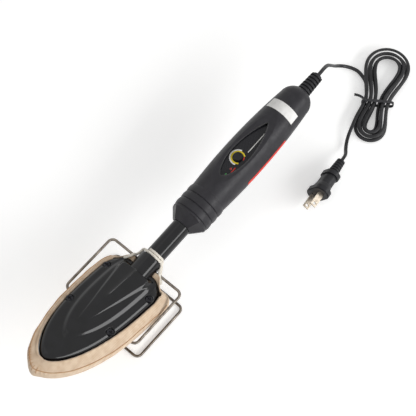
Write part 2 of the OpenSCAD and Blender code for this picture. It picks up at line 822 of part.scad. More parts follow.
clamp_t = cap_t - 12;
module cord_clamp() {
    color("#55555a") on_handle() difference() {
        translate([-4.4, -9, clamp_t - 4]) cube([8.8, 18, 8]);
        translate([0, 0, clamp_t - 5]) cylinder(r = guard_bore + slip, h = 10);
        for (s = [-1, 1]) pillar(-6, 6, s * 6.4, clamp_t, 1.2);
    }
}

module supply_wires() {
    color("#8a2b22") on_handle() for (s = [-1, 1])
        tube(smooth([[wire_x + 1, s * wire_y, board_to - 3.7], [wire_x + 0.8, s * (wire_y - 0.1), board_to],
            [3, s * 2, clamp_t - 16], [0, s * 1.2, clamp_t - 10], [0, s, clamp_t - 5.1]], 3),
            1.5, 8, false, [1, 0, 0]);
}

// The cord leaves the guard along the handle's axis and falls to the bench
function handle_point(t) = [nose_x - t * cos(rest_tilt), 0, nose_z + t * sin(rest_tilt)];
lead_hand = [
    for (p = [[-209, -1, 55], [-219, -3, 47], [-229, -4, 34], [-238, -5, 21], [-246.5, -5, 11],
        [-253.5, -1.5, 5.4], [-257.6, 5.5, 3.6], [-258.4, 13, 3.4]]) [nose_x + p[0], p[1], p[2]]
];
function lead_path() = concat(
    [for (t = [clamp_t + 4.1, handle_len + guard_len, handle_len + guard_len + 4]) handle_point(t)],
    smooth(concat(lead_hand, [hank_path[0] - 6 * hank_start, hank_path[0] - 3 * hank_start]), 2),
    [hank_path[0]]
);

// A hank of loops drawn in at the waist, spiralling in on the bench and out again on top
hank_at = [nose_x - 240, 49.5];
hank_dir = 22.4;
waist_half = 12.4;
far_r = 22.5;
far_a = -43;
near_r = 16;
near_a = 28;
hank_from = 0.1;
layer_h = 4.2;
tie_d = 1.3;
tie_gap = 0.25;
hank_low = tie_d + cord_d / 2 + tie_gap;
loop_rings = 24;
run_a = near_a - far_a;
round_len = 2 * run_a + PI * (far_r + near_r);
run_part = run_a / round_len;
near_part = PI * near_r / round_len;
far_part = 1 - 2 * run_part - near_part;
// Half width of the hank at a along it, between the centres of its two round ends
function drawn(a) =
    let (end = a < 0 ? far_a : near_a, wide = a < 0 ? far_r : near_r)
    waist_half + (wide - waist_half) * (0.5 - 0.5 * cos(180 * a / end));
// Outline of the hank, once round for u from 0 to 1
function hank_edge(u) =
    let (v = u - floor(u))
    v < run_part ? let (a = far_a + run_a * v / run_part) [a, -drawn(a)]
    : v < run_part + near_part ? let (t = 180 * ((v - run_part) / near_part - 0.5))
        [near_a + near_r * cos(t), near_r * sin(t)]
    : v < 2 * run_part + near_part ? let (a = near_a - run_a * (v - run_part - near_part) / run_part)
        [a, drawn(a)]
    : let (t = 180 * ((v - 2 * run_part - near_part) / far_part + 0.5))
        [far_a + far_r * cos(t), far_r * sin(t)];
function hank_in(s) = hank_step * min(s, hank_turns - s, hank_turns / 2 - 0.25);
function hank_up(s) = hank_low
    + layer_h * (0.5 - 0.5 * cos(180 * min(1, max(0, (s - hank_turns / 2 + 0.25) * 2))));
function hank_point(s) =
    let (
        u = hank_from + s,
        along = unit(hank_edge(u + 0.002) - hank_edge(u - 0.002)),
        p = hank_edge(u) + hank_in(s) * [-along[1], along[0]]
    )
    [hank_at[0] + p[0] * cos(hank_dir) - p[1] * sin(hank_dir),
        hank_at[1] + p[0] * sin(hank_dir) + p[1] * cos(hank_dir), hank_up(s)];
hank_over = 4 / 24;
hank_s = [for (i = [0 : (hank_turns + hank_over) * loop_rings]) i / loop_rings];
hank_path = [for (s = hank_s) hank_point(s)];
hank_start = unit(hank_path[1] - hank_path[0]);
hank_end = unit(hank_path[len(hank_path) - 1] - hank_path[len(hank_path) - 2]);

// The last stretch passes the near end of the hank and runs to the plug
tail_hand = [for (p = [[-191.5, 49.6, 5], [-182.5, 54, 3.4], [-176, 58.3, 5.4]]) [nose_x + p[0], p[1], p[2]]];
function tail_path() =
    let (from = hank_path[len(hank_path) - 1])
    concat(
        [from],
        smooth(concat(
            [for (k = [4, 8]) from + k * hank_end], tail_hand, [for (k = [9, 4]) plug_at - k * plug_dir]
        ), 2),
        [plug_at]
    );

module cord_lead() {
    color("#1a1a1c") tube(lead_path(), cord_d, 8, false, [0, 1, 0]);
}
module cord_hank() {
    color("#1a1a1c") tube(hank_path, cord_d, 6);
}
module cord_tail() {
    color("#1a1a1c") tube(tail_path(), cord_d, 8);
}

// The tie keeps one distance from the outermost strands, and its two twisted ends stand off one side
tie_skew = 12;
tie_side_gap = 0.55;
module twist_tie() {
    round_r = cord_d / 2 + tie_gap + tie_d / 2;
    side_y = waist_half / cos(tie_skew) + tie_side_gap;
    low = hank_low;
    high = hank_low + layer_h;
    corner_at = [[side_y, high, 0], [-side_y, high, 90], [-side_y, low, 180], [side_y, low, 270]];
    band = [
        for (c = corner_at, a = [0 : 18 : 90])
            [0, c[0] + round_r * cos(a + c[2]), c[1] + round_r * sin(a + c[2])]
    ];
    top = high + round_r;
    color("#2a2a2c") translate([hank_at[0], hank_at[1], 0]) rotate([0, 0, hank_dir + tie_skew]) {
        tube(band, tie_d, 8, true, [1, 0, 0]);
        tube([[0, 1 - side_y, top], [-1.5, -side_y - 3, top + 0.9], [-3.5, -side_y - 8, top + 1.2],
            [-5, -side_y - 12, top - 0.6]], tie_d, 8, false, [1, 0, 0]);
    }
}

// The plug lies on its side with one blade above the other
plug_at = [nose_x - 162.2, 62.4, 10.6];
plug_turn = 6.5;
plug_pitch = 4.2;
plug_roll = -30;
plug_dir = [cos(plug_pitch) * cos(plug_turn), cos(plug_pitch) * sin(plug_turn), sin(plug_pitch)];
plug_guard = 18;
front_w = 28;
front_t = 17;
module on_plug() {
    translate(plug_at) rotate([0, 0, plug_turn]) rotate([0, -plug_pitch, 0]) rotate([plug_roll, 0, 0])
        children();
}
// Block across the plug with round ends, from x0 to x1
module plug_block(x0, x1, long, thick) {
    translate([x0, 0, 0]) rotate([0, 90, 0]) linear_extrude(x1 - x0) {
        square([long - thick, thick], center = true);
        for (s = [-1, 1]) translate([s * (long - thick) / 2, 0]) circle(d = thick, $fn = 32);
    }
}
module blade(grow, x0) {
    for (s = [-1, 1]) translate([0, 0, s * blade_gap / 2])
        translate([x0, -blade_w / 2 - grow, -blade_t / 2 - grow])
            cube([plug_guard + plug_len - 1.2 - x0 + blade_len, blade_w + 2 * grow, blade_t + 2 * grow]);
}
module plug_body() {
    end = plug_guard + plug_len;
    color("#1f1f22") on_plug() difference() {
        union() {
            cylinder_x(0, plug_guard, 3.4, 4.4);
            for (i = [0 : 5]) cylinder_x(i * 3, i * 3 + 1.7, 4.2 + i * 0.22, 4.3 + i * 0.22);
            plug_block(plug_guard - 0.1, plug_guard + 4.5, 22, 15);
            hull() {
                plug_block(plug_guard + 4.4, plug_guard + 4.6, 18.5, 12.5);
                plug_block(end - 12, end - 11.8, 18.5, 13);
            }
            hull() {
                plug_block(end - 12, end - 11.8, 18.5, 13);
                plug_block(end - 5.6, end - 5.4, 23.5, 15);
            }
            plug_block(end - 5.5, end - 0.8, front_w, front_t);
            plug_block(end - 0.8, end, front_w - 1.6, front_t - 1.6);
        }
        blade(slip, end - 12);
    }
}
module cylinder_x(x0, x1, r0, r1) {
    translate([x0, 0, 0]) rotate([0, 90, 0]) cylinder(r1 = r0, r2 = r1, h = x1 - x0);
}
module plug_blades() {
    end = plug_guard + plug_len;
    tip = end + blade_len;
    color("#e6d9c4") on_plug() difference() {
        translate([0, 0, 0]) intersection() {
            blade(0, end - 12);
            translate([0, 0, -20]) linear_extrude(40) polygon([
                [end - 20, -8], [tip - 1.4, -8], [tip - 1.4, -blade_w / 2], [tip, -blade_w / 2 + 1.4],
                [tip, blade_w / 2 - 1.4], [tip - 1.4, blade_w / 2], [tip - 1.4, 8], [end - 20, 8]
            ]);
        }
        translate([tip - 4, 0, -20]) cylinder(d = blade_hole, h = 40);
    }
}

// Least gap between two stretches of the hank that lie a quarter loop or more apart
function nearest_gap(p, skip) = min([
    for (i = [0 : len(p) - 1 - skip])
        min([for (j = [i + skip : len(p) - 1]) norm(p[i] - p[j])])
]) - cord_d;
fine_hank = [for (i = [0 : (hank_turns + hank_over) * 96]) hank_point(i / 96)];
echo(least_gap_in_hank = nearest_gap(fine_hank, 24));

wire_stand();
sole_plate();
heating_element();
thermal_sensor();
clamp_plate();
clamp_screws();
insulating_sheet();
shoe_cover();
cover_screws();
sock();
drawstring();
shaft_tube();
heater_leads();
nose_collar();
handle_bottom_shell();
handle_top_shell();
shell_screws();
side_strip_left();
side_strip_right();
control_panel();
dial_knob();
dial_shaft();
potentiometer();
power_lamp();
ready_lamp();
circuit_board();
triac();
capacitor();
terminal_block();
rating_label();
end_cap();
cord_guard();
cord_clamp();
supply_wires();
cord_lead();
cord_hank();
cord_tail();
twist_tie();
plug_body();
plug_blades();
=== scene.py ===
import math

import bmesh
import bpy
import numpy as np
from bpy.props import FloatProperty, PointerProperty
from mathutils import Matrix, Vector


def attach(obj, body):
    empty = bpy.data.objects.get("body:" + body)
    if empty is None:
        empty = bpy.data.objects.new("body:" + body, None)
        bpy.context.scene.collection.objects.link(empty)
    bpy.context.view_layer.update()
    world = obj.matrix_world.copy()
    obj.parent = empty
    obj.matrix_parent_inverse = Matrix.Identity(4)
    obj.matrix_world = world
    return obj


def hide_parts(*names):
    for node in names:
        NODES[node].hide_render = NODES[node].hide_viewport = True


bl_info = {
    "name": "Sealing iron on its stand",
    "version": (1, 0, 0),
    "blender": (4, 5, 0),
    "location": "View3D > Sidebar > Sealing iron",
    "description": "Dresses a small sealing iron, its cloth boot, its wire stand and its tied mains cord",
    "category": "Object",
}

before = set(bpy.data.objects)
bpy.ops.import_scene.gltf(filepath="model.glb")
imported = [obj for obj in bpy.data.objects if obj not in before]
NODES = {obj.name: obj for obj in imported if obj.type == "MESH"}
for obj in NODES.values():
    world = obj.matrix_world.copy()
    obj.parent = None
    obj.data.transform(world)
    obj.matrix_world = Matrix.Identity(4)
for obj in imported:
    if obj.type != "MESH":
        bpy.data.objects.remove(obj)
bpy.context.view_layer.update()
MM = 0.001


# Poses of the handle and of the shoe, in millimetres and degrees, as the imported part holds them
NOSE = np.array([-4.355, 0.0, 44.434])
REST_TILT = math.radians(3.6)
SOLE_ANGLE = math.radians(21.1)
HEEL_DROP = 10.9
SHAFT_REACH = 64.8


def turn_y(angle):
    """Matrix that turns about Y by an angle in radians."""
    c, s = math.cos(angle), math.sin(angle)
    return np.array([[c, 0, s], [0, 1, 0], [-s, 0, c]])


HANDLE_TURN = turn_y(REST_TILT - math.pi / 2)
SHOE_TURN = HANDLE_TURN @ turn_y(math.pi / 2 - SOLE_ANGLE)
HEEL = NOSE + HANDLE_TURN @ np.array([-HEEL_DROP, 0.0, -SHAFT_REACH])


def on_handle(points):
    """Points given as (up, left, back from the nose) in millimetres, placed in the bench frame."""
    return np.asarray(points, float) @ HANDLE_TURN.T + NOSE


def on_shoe(points):
    """Points given as (forward from the heel, left, up from the sole) in millimetres, placed in the bench frame."""
    return np.asarray(points, float) @ SHOE_TURN.T + HEEL


# Materials

def linear(code):
    """An sRGB hex colour as linear red, green, blue and alpha."""
    parts = [int(code[i:i + 2], 16) / 255 for i in (1, 3, 5)]
    return [c / 12.92 if c <= 0.04045 else ((c + 0.055) / 1.055) ** 2.4 for c in parts] + [1.0]


def add(tree, kind, inputs=None, **settings):
    """One node with its settings; an input takes a value or another node's output socket."""
    node = tree.nodes.new(kind)
    for key, value in settings.items():
        setattr(node, key, value)
    for key, value in (inputs or {}).items():
        if isinstance(value, bpy.types.NodeSocket):
            tree.links.new(value, node.inputs[key])
        else:
            node.inputs[key].default_value = value
    return node


def begin(name, **values):
    """A new material with its Principled shader, whose sockets take the given values."""
    made = bpy.data.materials.new(name)
    made.use_nodes = True
    tree = made.node_tree
    shader = tree.nodes["Principled BSDF"]
    for key, value in values.items():
        shader.inputs[key.replace("_", " ")].default_value = value
    return made, tree, shader


def per_mm(size_mm):
    """Texture scale, in repeats per metre, for a feature of that size in millimetres."""
    return 1000.0 / size_mm


def mottled(tree, low, high, size_mm, coords):
    """Colour that drifts between two hex colours in patches of the given size."""
    noise = add(tree, "ShaderNodeTexNoise", {"Vector": coords, "Scale": per_mm(size_mm), "Detail": 4.0})
    ramp = add(tree, "ShaderNodeValToRGB", {"Fac": noise.outputs["Fac"]})
    ramp.color_ramp.elements[0].position = 0.35
    ramp.color_ramp.elements[0].color = linear(low)
    ramp.color_ramp.elements[1].position = 0.65
    ramp.color_ramp.elements[1].color = linear(high)
    return ramp.outputs["Color"]


def grain(tree, shader, coords, size_mm, height_mm):
    """Fine bump of the given grain size and height on the shader's normal."""
    noise = add(tree, "ShaderNodeTexNoise", {"Vector": coords, "Scale": per_mm(size_mm), "Detail": 3.0})
    bump = add(tree, "ShaderNodeBump", {"Height": noise.outputs["Fac"], "Distance": height_mm * MM, "Strength": 1.0})
    tree.links.new(bump.outputs["Normal"], shader.inputs["Normal"])


def varied_roughness(tree, shader, coords, size_mm, low, high):
    """Roughness that wanders between two values, as handled surfaces have."""
    noise = add(tree, "ShaderNodeTexNoise", {"Vector": coords, "Scale": per_mm(size_mm), "Detail": 5.0})
    spread = add(tree, "ShaderNodeMapRange", {"Value": noise.outputs["Fac"], "From Min": 0.3, "From Max": 0.7,
                                              "To Min": low, "To Max": high})
    tree.links.new(spread.outputs["Result"], shader.inputs["Roughness"])


def own_coords(tree):
    """The object's own coordinates, in metres."""
    return add(tree, "ShaderNodeTexCoord").outputs["Object"]


def finish_of(name, low, high, patch_mm, gloss=None, pebble=None, **values):
    """A finish that drifts between two hex colours in patches of a size in millimetres.

    gloss is (patch size, lowest and highest roughness) and pebble is (grain size, grain height), in millimetres.
    """
    made, tree, shader = begin(name, **values)
    coords = own_coords(tree)
    tree.links.new(mottled(tree, low, high, patch_mm, coords), shader.inputs["Base Color"])
    if gloss:
        varied_roughness(tree, shader, coords, *gloss)
    if pebble:
        grain(tree, shader, coords, *pebble)
    return made


def zinc_plated_wire():
    """Drawn steel wire with dulled zinc plating: a clear metal with faint wander in its gloss."""
    return finish_of("zinc_plated_wire", "#625b54", "#8a8279", 6.0, (3.0, 0.12, 0.26), (0.8, 0.02),
                     Metallic=1.0, Roughness=0.2)


def cast_aluminium():
    """Machined aluminium casting with a fine open grain."""
    return finish_of("cast_aluminium", "#9fa1a3", "#bfc1c2", 4.0, pebble=(0.5, 0.03), Metallic=1.0, Roughness=0.42)


def black_enamel():
    """Glossy black baked enamel on pressed steel, with a soft orange-peel surface."""
    return finish_of("black_enamel", "#08080a", "#101013", 9.0, (6.0, 0.07, 0.13), (2.2, 0.008),
                     Roughness=0.1, Specular_IOR_Level=0.34)


def blackened_screw():
    """Steel screws with a black oxide finish, slightly worn on top."""
    return finish_of("blackened_screw", "#1d1d20", "#3c3c40", 1.5, pebble=(0.4, 0.02), Metallic=0.85, Roughness=0.4)


def moulded_nylon(name, low, high, rough):
    """Glass-filled nylon from a spark-eroded mould: matte, with a fine even pebble."""
    return finish_of(name, low, high, 7.0, (4.0, rough - 0.07, rough + 0.07), (0.55, 0.03),
                     Roughness=rough, Specular_IOR_Level=0.28)


def gloss_red_inlay():
    """Satin red moulded strip with faint flow marks."""
    return finish_of("gloss_red_inlay", "#d42a20", "#e23a2e", 8.0, pebble=(1.4, 0.012),
                     Roughness=0.4, Specular_IOR_Level=0.2)


def lamp_lens(name, low, high):
    """Tinted clear lens over a small lamp."""
    return finish_of(name, low, high, 1.2, Roughness=0.12, Transmission_Weight=0.35, IOR=1.49)


def bare_label_film():
    """Pale polyester label film with a soft satin face and a little handling grime."""
    return finish_of("bare_label_film", "#e6e5e2", "#f2f1ef", 5.0, pebble=(0.9, 0.01),
                     Roughness=0.6, Specular_IOR_Level=0.2)


def woven_cotton():
    """Undyed heat-proof cotton cloth in plain weave, threads 0.7 mm apart so that they show, with a nap."""
    made, tree, shader = begin("woven_cotton", Roughness=0.9, Sheen_Weight=0.35, Sheen_Roughness=0.5)
    coords = own_coords(tree)
    pitch = {"Vector": coords, "Scale": per_mm(0.7) / 6.283, "Distortion": 0.6, "Detail": 1.0}
    along, over = (add(tree, "ShaderNodeTexWave", pitch, bands_direction=way).outputs["Fac"] for way in "XY")
    weave = add(tree, "ShaderNodeMath", {0: along, 1: over}, operation="ADD")
    base = mottled(tree, "#d0b598", "#dfc8ae", 5.0, coords)
    thread = add(tree, "ShaderNodeMapRange", {"Value": weave.outputs[0], "From Min": 0.2, "From Max": 1.8,
                                              "To Min": 0.86, "To Max": 1.04})
    tint = add(tree, "ShaderNodeVectorMath", {0: base, "Scale": thread.outputs["Result"]}, operation="SCALE")
    tree.links.new(tint.outputs[0], shader.inputs["Base Color"])
    bump = add(tree, "ShaderNodeBump", {"Height": weave.outputs[0], "Distance": 0.06 * MM, "Strength": 0.6})
    tree.links.new(bump.outputs["Normal"], shader.inputs["Normal"])
    return made


def brown_thread():
    """Twisted brown sewing thread."""
    return finish_of("Twisted sewing thread", "#a9805a", "#bf9670", 1.5, pebble=(0.5, 0.2), Roughness=0.9)


def cotton_string():
    """White twisted cotton string with soft fibres."""
    return finish_of("cotton_string", "#d9d1c3", "#f3eee4", 1.2, pebble=(0.5, 0.12),
                     Roughness=0.92, Sheen_Weight=0.3, Sheen_Roughness=0.6)


def vinyl_cord():
    """Black flexible vinyl, extruded, with a dull sheen and faint dust."""
    return finish_of("vinyl_cord", "#131315", "#242427", 5.0, (3.0, 0.34, 0.5), (0.7, 0.015),
                     Roughness=0.42, Specular_IOR_Level=0.35)


def nickel_plated_brass():
    """Nickel-plated brass blades, warm from the brass beneath."""
    return finish_of("nickel_plated_brass", "#968c7f", "#aca396", 2.5, (1.5, 0.3, 0.42), Metallic=1.0, Roughness=0.24)


def printed_panel():
    """Dark printed film over the controls, with a fine print of checks 1 mm wide."""
    made, tree, shader = begin("printed_panel", Roughness=0.22, Specular_IOR_Level=0.25)
    coords = own_coords(tree)
    checks = add(tree, "ShaderNodeTexChecker", {"Vector": coords, "Scale": per_mm(1.0),
                                                "Color1": linear("#0f0f12"), "Color2": linear("#212126")})
    tree.links.new(checks.outputs["Color"], shader.inputs["Base Color"])
    grain(tree, shader, coords, 0.8, 0.01)
    return made


def inner_finish(name, low, high, rough=0.6, metallic=0.0):
    """Plain moulded, pressed or plated finish of the inner pieces, with a light mottle."""
    return finish_of(name, low, high, 3.0, pebble=(0.6, 0.015), Roughness=rough, Metallic=metallic)


# Meshes

def grid_faces(rows, columns, close_rows, close_columns):
    """Quads over a grid of rows by columns, wrapped in either direction, as one array."""
    r = np.arange(rows if close_rows else rows - 1)
    c = np.arange(columns if close_columns else columns - 1)
    r, c = (m.ravel() for m in np.meshgrid(r, c, indexing="ij"))
    r1, c1 = (r + 1) % rows, (c + 1) % columns
    return np.stack([r * columns + c, r * columns + c1, r1 * columns + c1, r1 * columns + c], 1)


def make_piece(name, vertices, faces, material, smooth=True):
    """A mesh object at the origin from arrays in metres, with one material."""
    mesh = bpy.data.meshes.new(name)
    mesh.from_pydata(np.asarray(vertices, float).tolist(), [], [list(f) for f in faces])
    mesh.validate()
    mesh.materials.append(material)
    mesh.polygons.foreach_set("use_smooth", [smooth] * len(mesh.polygons))
    mesh.update()
    made = bpy.data.objects.new(name, mesh)
    bpy.context.scene.collection.objects.link(made)
    return made


def grid_piece(name, points, material, close_rows=False, close_columns=False, cap_ends=False):
    """A piece from a grid of points of shape (rows, columns, 3) in metres."""
    rows, columns = points.shape[:2]
    faces = grid_faces(rows, columns, close_rows, close_columns).tolist()
    if cap_ends:
        faces.append(list(range(columns))[::-1])
        faces.append([(rows - 1) * columns + k for k in range(columns)])
    made = make_piece(name, points.reshape(-1, 3), faces, material)
    outward(made)
    return made


def outward(piece):
    """Merges doubles and turns the faces of a closed piece outwards."""
    work = bmesh.new()
    work.from_mesh(piece.data)
    bmesh.ops.remove_doubles(work, verts=work.verts, dist=1e-7)
    bmesh.ops.recalc_face_normals(work, faces=work.faces)
    work.to_mesh(piece.data)
    work.free()


def through(points, steps):
    """Catmull-Rom curve through given points, with a number of steps between each two."""
    p = np.asarray(points, float)
    a = np.vstack([p[:1], p[:-2]])
    b, c = p[:-1], p[1:]
    d = np.vstack([p[2:], p[-1:]])
    t = (np.arange(steps) / steps)[None, :, None]
    a, b, c, d = (m[:, None, :] for m in (a, b, c, d))
    curve = 0.5 * (2 * b + (c - a) * t + (2 * a - 5 * b + 4 * c - d) * t ** 2
                   + (3 * b - a - 3 * c + d) * t ** 3)
    return np.vstack([curve.reshape(-1, p.shape[1]), p[-1:]])


def resampled(points, spacing):
    """The same line with points at an even spacing."""
    gaps = np.linalg.norm(np.diff(points, axis=0), axis=1)
    run = np.concatenate([[0], np.cumsum(gaps)])
    count = max(2, int(round(run[-1] / spacing)) + 1)
    at = np.linspace(0, run[-1], count)
    return np.stack([np.interp(at, run, points[:, k]) for k in range(3)], 1)


def smoothed(points, passes):
    """The same line with its inner points drawn to their neighbours' middle, a number of times."""
    p = points.copy()
    for _ in range(passes):
        p[1:-1] = 0.5 * p[1:-1] + 0.25 * (p[:-2] + p[2:])
    return p


def directions(points, closed=False):
    """Unit tangents of a line, from each point's neighbours."""
    if closed:
        d = np.roll(points, -1, 0) - np.roll(points, 1, 0)
    else:
        d = np.gradient(points, axis=0)
    return d / np.linalg.norm(d, axis=1, keepdims=True)


def swept(points, profile, closed=False, up=(0, 0, 1), twist=0.0):
    """Carries a closed flat profile (across, up) along a line: each ring is point + across*side + up*top."""
    way = directions(points, closed)
    side = np.cross(np.asarray(up, float), way)
    side /= np.linalg.norm(side, axis=1, keepdims=True)
    top = np.cross(way, side)
    turn = np.broadcast_to(np.asarray(twist, float), len(points))[:, None]
    s = side * np.cos(turn) + top * np.sin(turn)
    t = top * np.cos(turn) - side * np.sin(turn)
    return points[:, None, :] + profile[None, :, :1] * s[:, None, :] + profile[None, :, 1:] * t[:, None, :]


def rod(name, line, profile, material, **how):
    """A solid bar: a profile swept along a line in metres, with both ends closed."""
    return grid_piece(name, swept(line, profile, **how), material, close_columns=True, cap_ends=True)


def round_profile(diameter, sides):
    """Points round a circle."""
    a = np.linspace(0, 2 * math.pi, sides, endpoint=False)
    return np.stack([np.cos(a), np.sin(a)], 1) * diameter / 2


# The mains cord: its listed points and the hank's formula are the part's own, in millimetres

GUARD_END = 199.0
FROM_NOSE = np.array([NOSE[0], 0.0, 0.0])
LEAD_HAND = FROM_NOSE + [(-209, -1, 55), (-219, -3, 47), (-229, -4, 34), (-238, -5, 21), (-246.5, -5, 11),
                         (-253.5, -1.5, 5.4), (-257.6, 5.5, 3.6), (-258.4, 13, 3.4)]
TAIL_HAND = FROM_NOSE + [(-191.5, 49.6, 5), (-182.5, 54, 3.4), (-176, 58.3, 5.4)]
PLUG_AT = FROM_NOSE + (-162.2, 62.4, 10.6)
PLUG_TURN, PLUG_PITCH = math.radians(6.5), math.radians(4.2)
PLUG_DIR = np.array([math.cos(PLUG_PITCH) * math.cos(PLUG_TURN), math.cos(PLUG_PITCH) * math.sin(PLUG_TURN),
                     math.sin(PLUG_PITCH)])
HANK_AT = np.array([NOSE[0] - 240.0, 49.5])
HANK_DIR = math.radians(22.4)
HANK_TURNS, HANK_OVER, HANK_STEP, HANK_FROM = 5, 4 / 24, 4.7, 0.1
WAIST_HALF, FAR_R, FAR_A, NEAR_R, NEAR_A = 12.4, 22.5, -43.0, 16.0, 28.0
HANK_LOW, LAYER_H = 3.35, 4.2


def hank_edge(u):
    """Outline of the hank: two round ends joined by sides that draw in to the waist as a half cosine."""
    run = NEAR_A - FAR_A
    total = 2 * run + math.pi * (FAR_R + NEAR_R)
    q, qn = run / total, math.pi * NEAR_R / total
    qf = 1 - 2 * q - qn
    v = u - np.floor(u)

    def drawn(a):
        end = np.where(a < 0, FAR_A, NEAR_A)
        wide = np.where(a < 0, FAR_R, NEAR_R)
        return WAIST_HALF + (wide - WAIST_HALF) * (0.5 - 0.5 * np.cos(math.pi * a / end))

    left = FAR_A + run * v / q
    near = math.pi * ((v - q) / qn - 0.5)
    right = NEAR_A - run * (v - q - qn) / q
    far = math.pi * ((v - 2 * q - qn) / qf + 0.5)
    pick = [v < q, v < q + qn, v < 2 * q + qn]
    a = np.select(pick, [left, NEAR_A + NEAR_R * np.cos(near), right], FAR_A + FAR_R * np.cos(far))
    b = np.select(pick, [-drawn(left), NEAR_R * np.sin(near), drawn(right)], FAR_R * np.sin(far))
    return np.stack([a, b], 1)


def hank_line(steps_per_turn):
    """The hank spirals in along its outline on the bench, climbs a layer on a run, and spirals out on top."""
    s = np.arange(0, HANK_TURNS + HANK_OVER + 1e-6, 1 / steps_per_turn)
    u = HANK_FROM + s
    way = hank_edge(u + 0.002) - hank_edge(u - 0.002)
    way /= np.linalg.norm(way, axis=1, keepdims=True)
    inward = HANK_STEP * np.minimum(np.minimum(s, HANK_TURNS - s), HANK_TURNS / 2 - 0.25)
    p = hank_edge(u) + inward[:, None] * np.stack([-way[:, 1], way[:, 0]], 1)
    climb = np.clip((s - HANK_TURNS / 2 + 0.25) * 2, 0, 1)
    z = HANK_LOW + LAYER_H * (0.5 - 0.5 * np.cos(math.pi * climb))
    c, d = math.cos(HANK_DIR), math.sin(HANK_DIR)
    return np.stack([HANK_AT[0] + p[:, 0] * c - p[:, 1] * d, HANK_AT[1] + p[:, 0] * d + p[:, 1] * c, z], 1)


def cord_line():
    """The whole cord's centre line: out of the guard, down to the bench, round the hank and on to the plug."""
    hank = hank_line(48)
    start = hank[1] - hank[0]
    start /= np.linalg.norm(start)
    end = hank[-1] - hank[-2]
    end /= np.linalg.norm(end)
    out = [on_handle((0, 0, t)) for t in (GUARD_END, GUARD_END + 4)]
    lead = through(np.vstack([out, LEAD_HAND, hank[0] - 6 * start, hank[0]]), 6)
    tail = through(np.vstack([hank[-1], hank[-1] + 6 * end, TAIL_HAND, PLUG_AT - 8 * PLUG_DIR, PLUG_AT]), 6)
    whole = np.vstack([lead[:-1], hank, tail[1:]])
    return smoothed(resampled(whole, 2.0), 3) * MM


def make_cord(material, width, thickness):
    """The mains cord, its centre line in metres and that line's length."""
    line = cord_line()
    a = np.linspace(0, 2 * math.pi, 20, endpoint=False)
    # Two cores side by side: an oval whose flat sides dip between the cores
    dip = 1 - 0.16 * np.exp(-(np.cos(a) / 0.28) ** 2)
    profile = np.stack([width / 2 * np.cos(a), thickness / 2 * np.sin(a) * dip], 1)
    cord = rod("mains_cord", line, profile, material, twist=math.radians(28))
    length = float(np.linalg.norm(np.diff(line, axis=0), axis=1).sum())
    return cord, line, length


# The cloth boot

SOLE_LEN, SOLE_WIDE = 125.0, 62.0
COVER_LEN, COVER_WIDE = 120.0, 60.0


def plan_half(x, length, wide):
    """Half width of the shoe at x: half the width times (1 - (x/length)^3.4)^0.66, drawn in over the last 15 mm."""
    u = np.clip(x / length, 0, 1)
    rear = np.where(x < 15, 1 - 0.14 * (1 - np.clip(x, 0, 15) / 15) ** 2, 1.0)
    return wide / 2 * (1 - u ** 3.4) ** 0.66 * rear


def plan_line(length, wide, count, corner=4.0, rounds=10):
    """Closed outline of the shoe at even spacing, from the middle of the heel round the +Y side."""
    k = np.linspace(0, 1, 400)
    x = length * (1 - (1 - k) ** 2.2)
    half = plan_half(x, length, wide)
    across = np.linspace(0, 1, 40)[:-1]
    start = half[0] - corner
    side = np.stack([np.concatenate([np.zeros(39), x]), np.concatenate([start * across, half])], 1)
    loop = np.vstack([side, side[::-1][1:-1] * [1, -1]])
    loop = np.vstack([loop, loop[:1]])
    run = np.concatenate([[0], np.cumsum(np.linalg.norm(np.diff(loop, axis=0), axis=1))])
    at = np.linspace(0, run[-1], count, endpoint=False)
    line = np.stack([np.interp(at, run, loop[:, 0]), np.interp(at, run, loop[:, 1])], 1)
    for _ in range(rounds):
        line = 0.5 * line + 0.25 * (np.roll(line, 1, 0) + np.roll(line, -1, 0))
    return line


def normals_2d(line, spread=2):
    """Outward unit normals of a closed outline, taken over a few neighbours."""
    way = np.roll(line, -spread, 0) - np.roll(line, spread, 0)
    out = np.stack([way[:, 1], -way[:, 0]], 1)
    out /= np.linalg.norm(out, axis=1, keepdims=True)
    return out * np.sign(((line - line.mean(0)) * out).sum(1).mean())


def smooth_step(v):
    """0 below 0, 1 above 1, and 3v^2 - 2v^3 between."""
    v = np.clip(v, 0, 1)
    return v * v * (3 - 2 * v)


BOOT_COLUMNS = 640
NECK_ROOM = 11.6
# Rings of the boot under the sole, steps between its control rows, and the cloth's height under the sole
UNDER_RINGS, CURVE_STEPS, CLOTH_Z = 14, 6, -1.1


def neck_axis_z(x):
    """Height of the shaft's axis over the sole at x, in the shoe's frame."""
    return HEEL_DROP / math.cos(SOLE_ANGLE) - x * math.tan(SOLE_ANGLE)


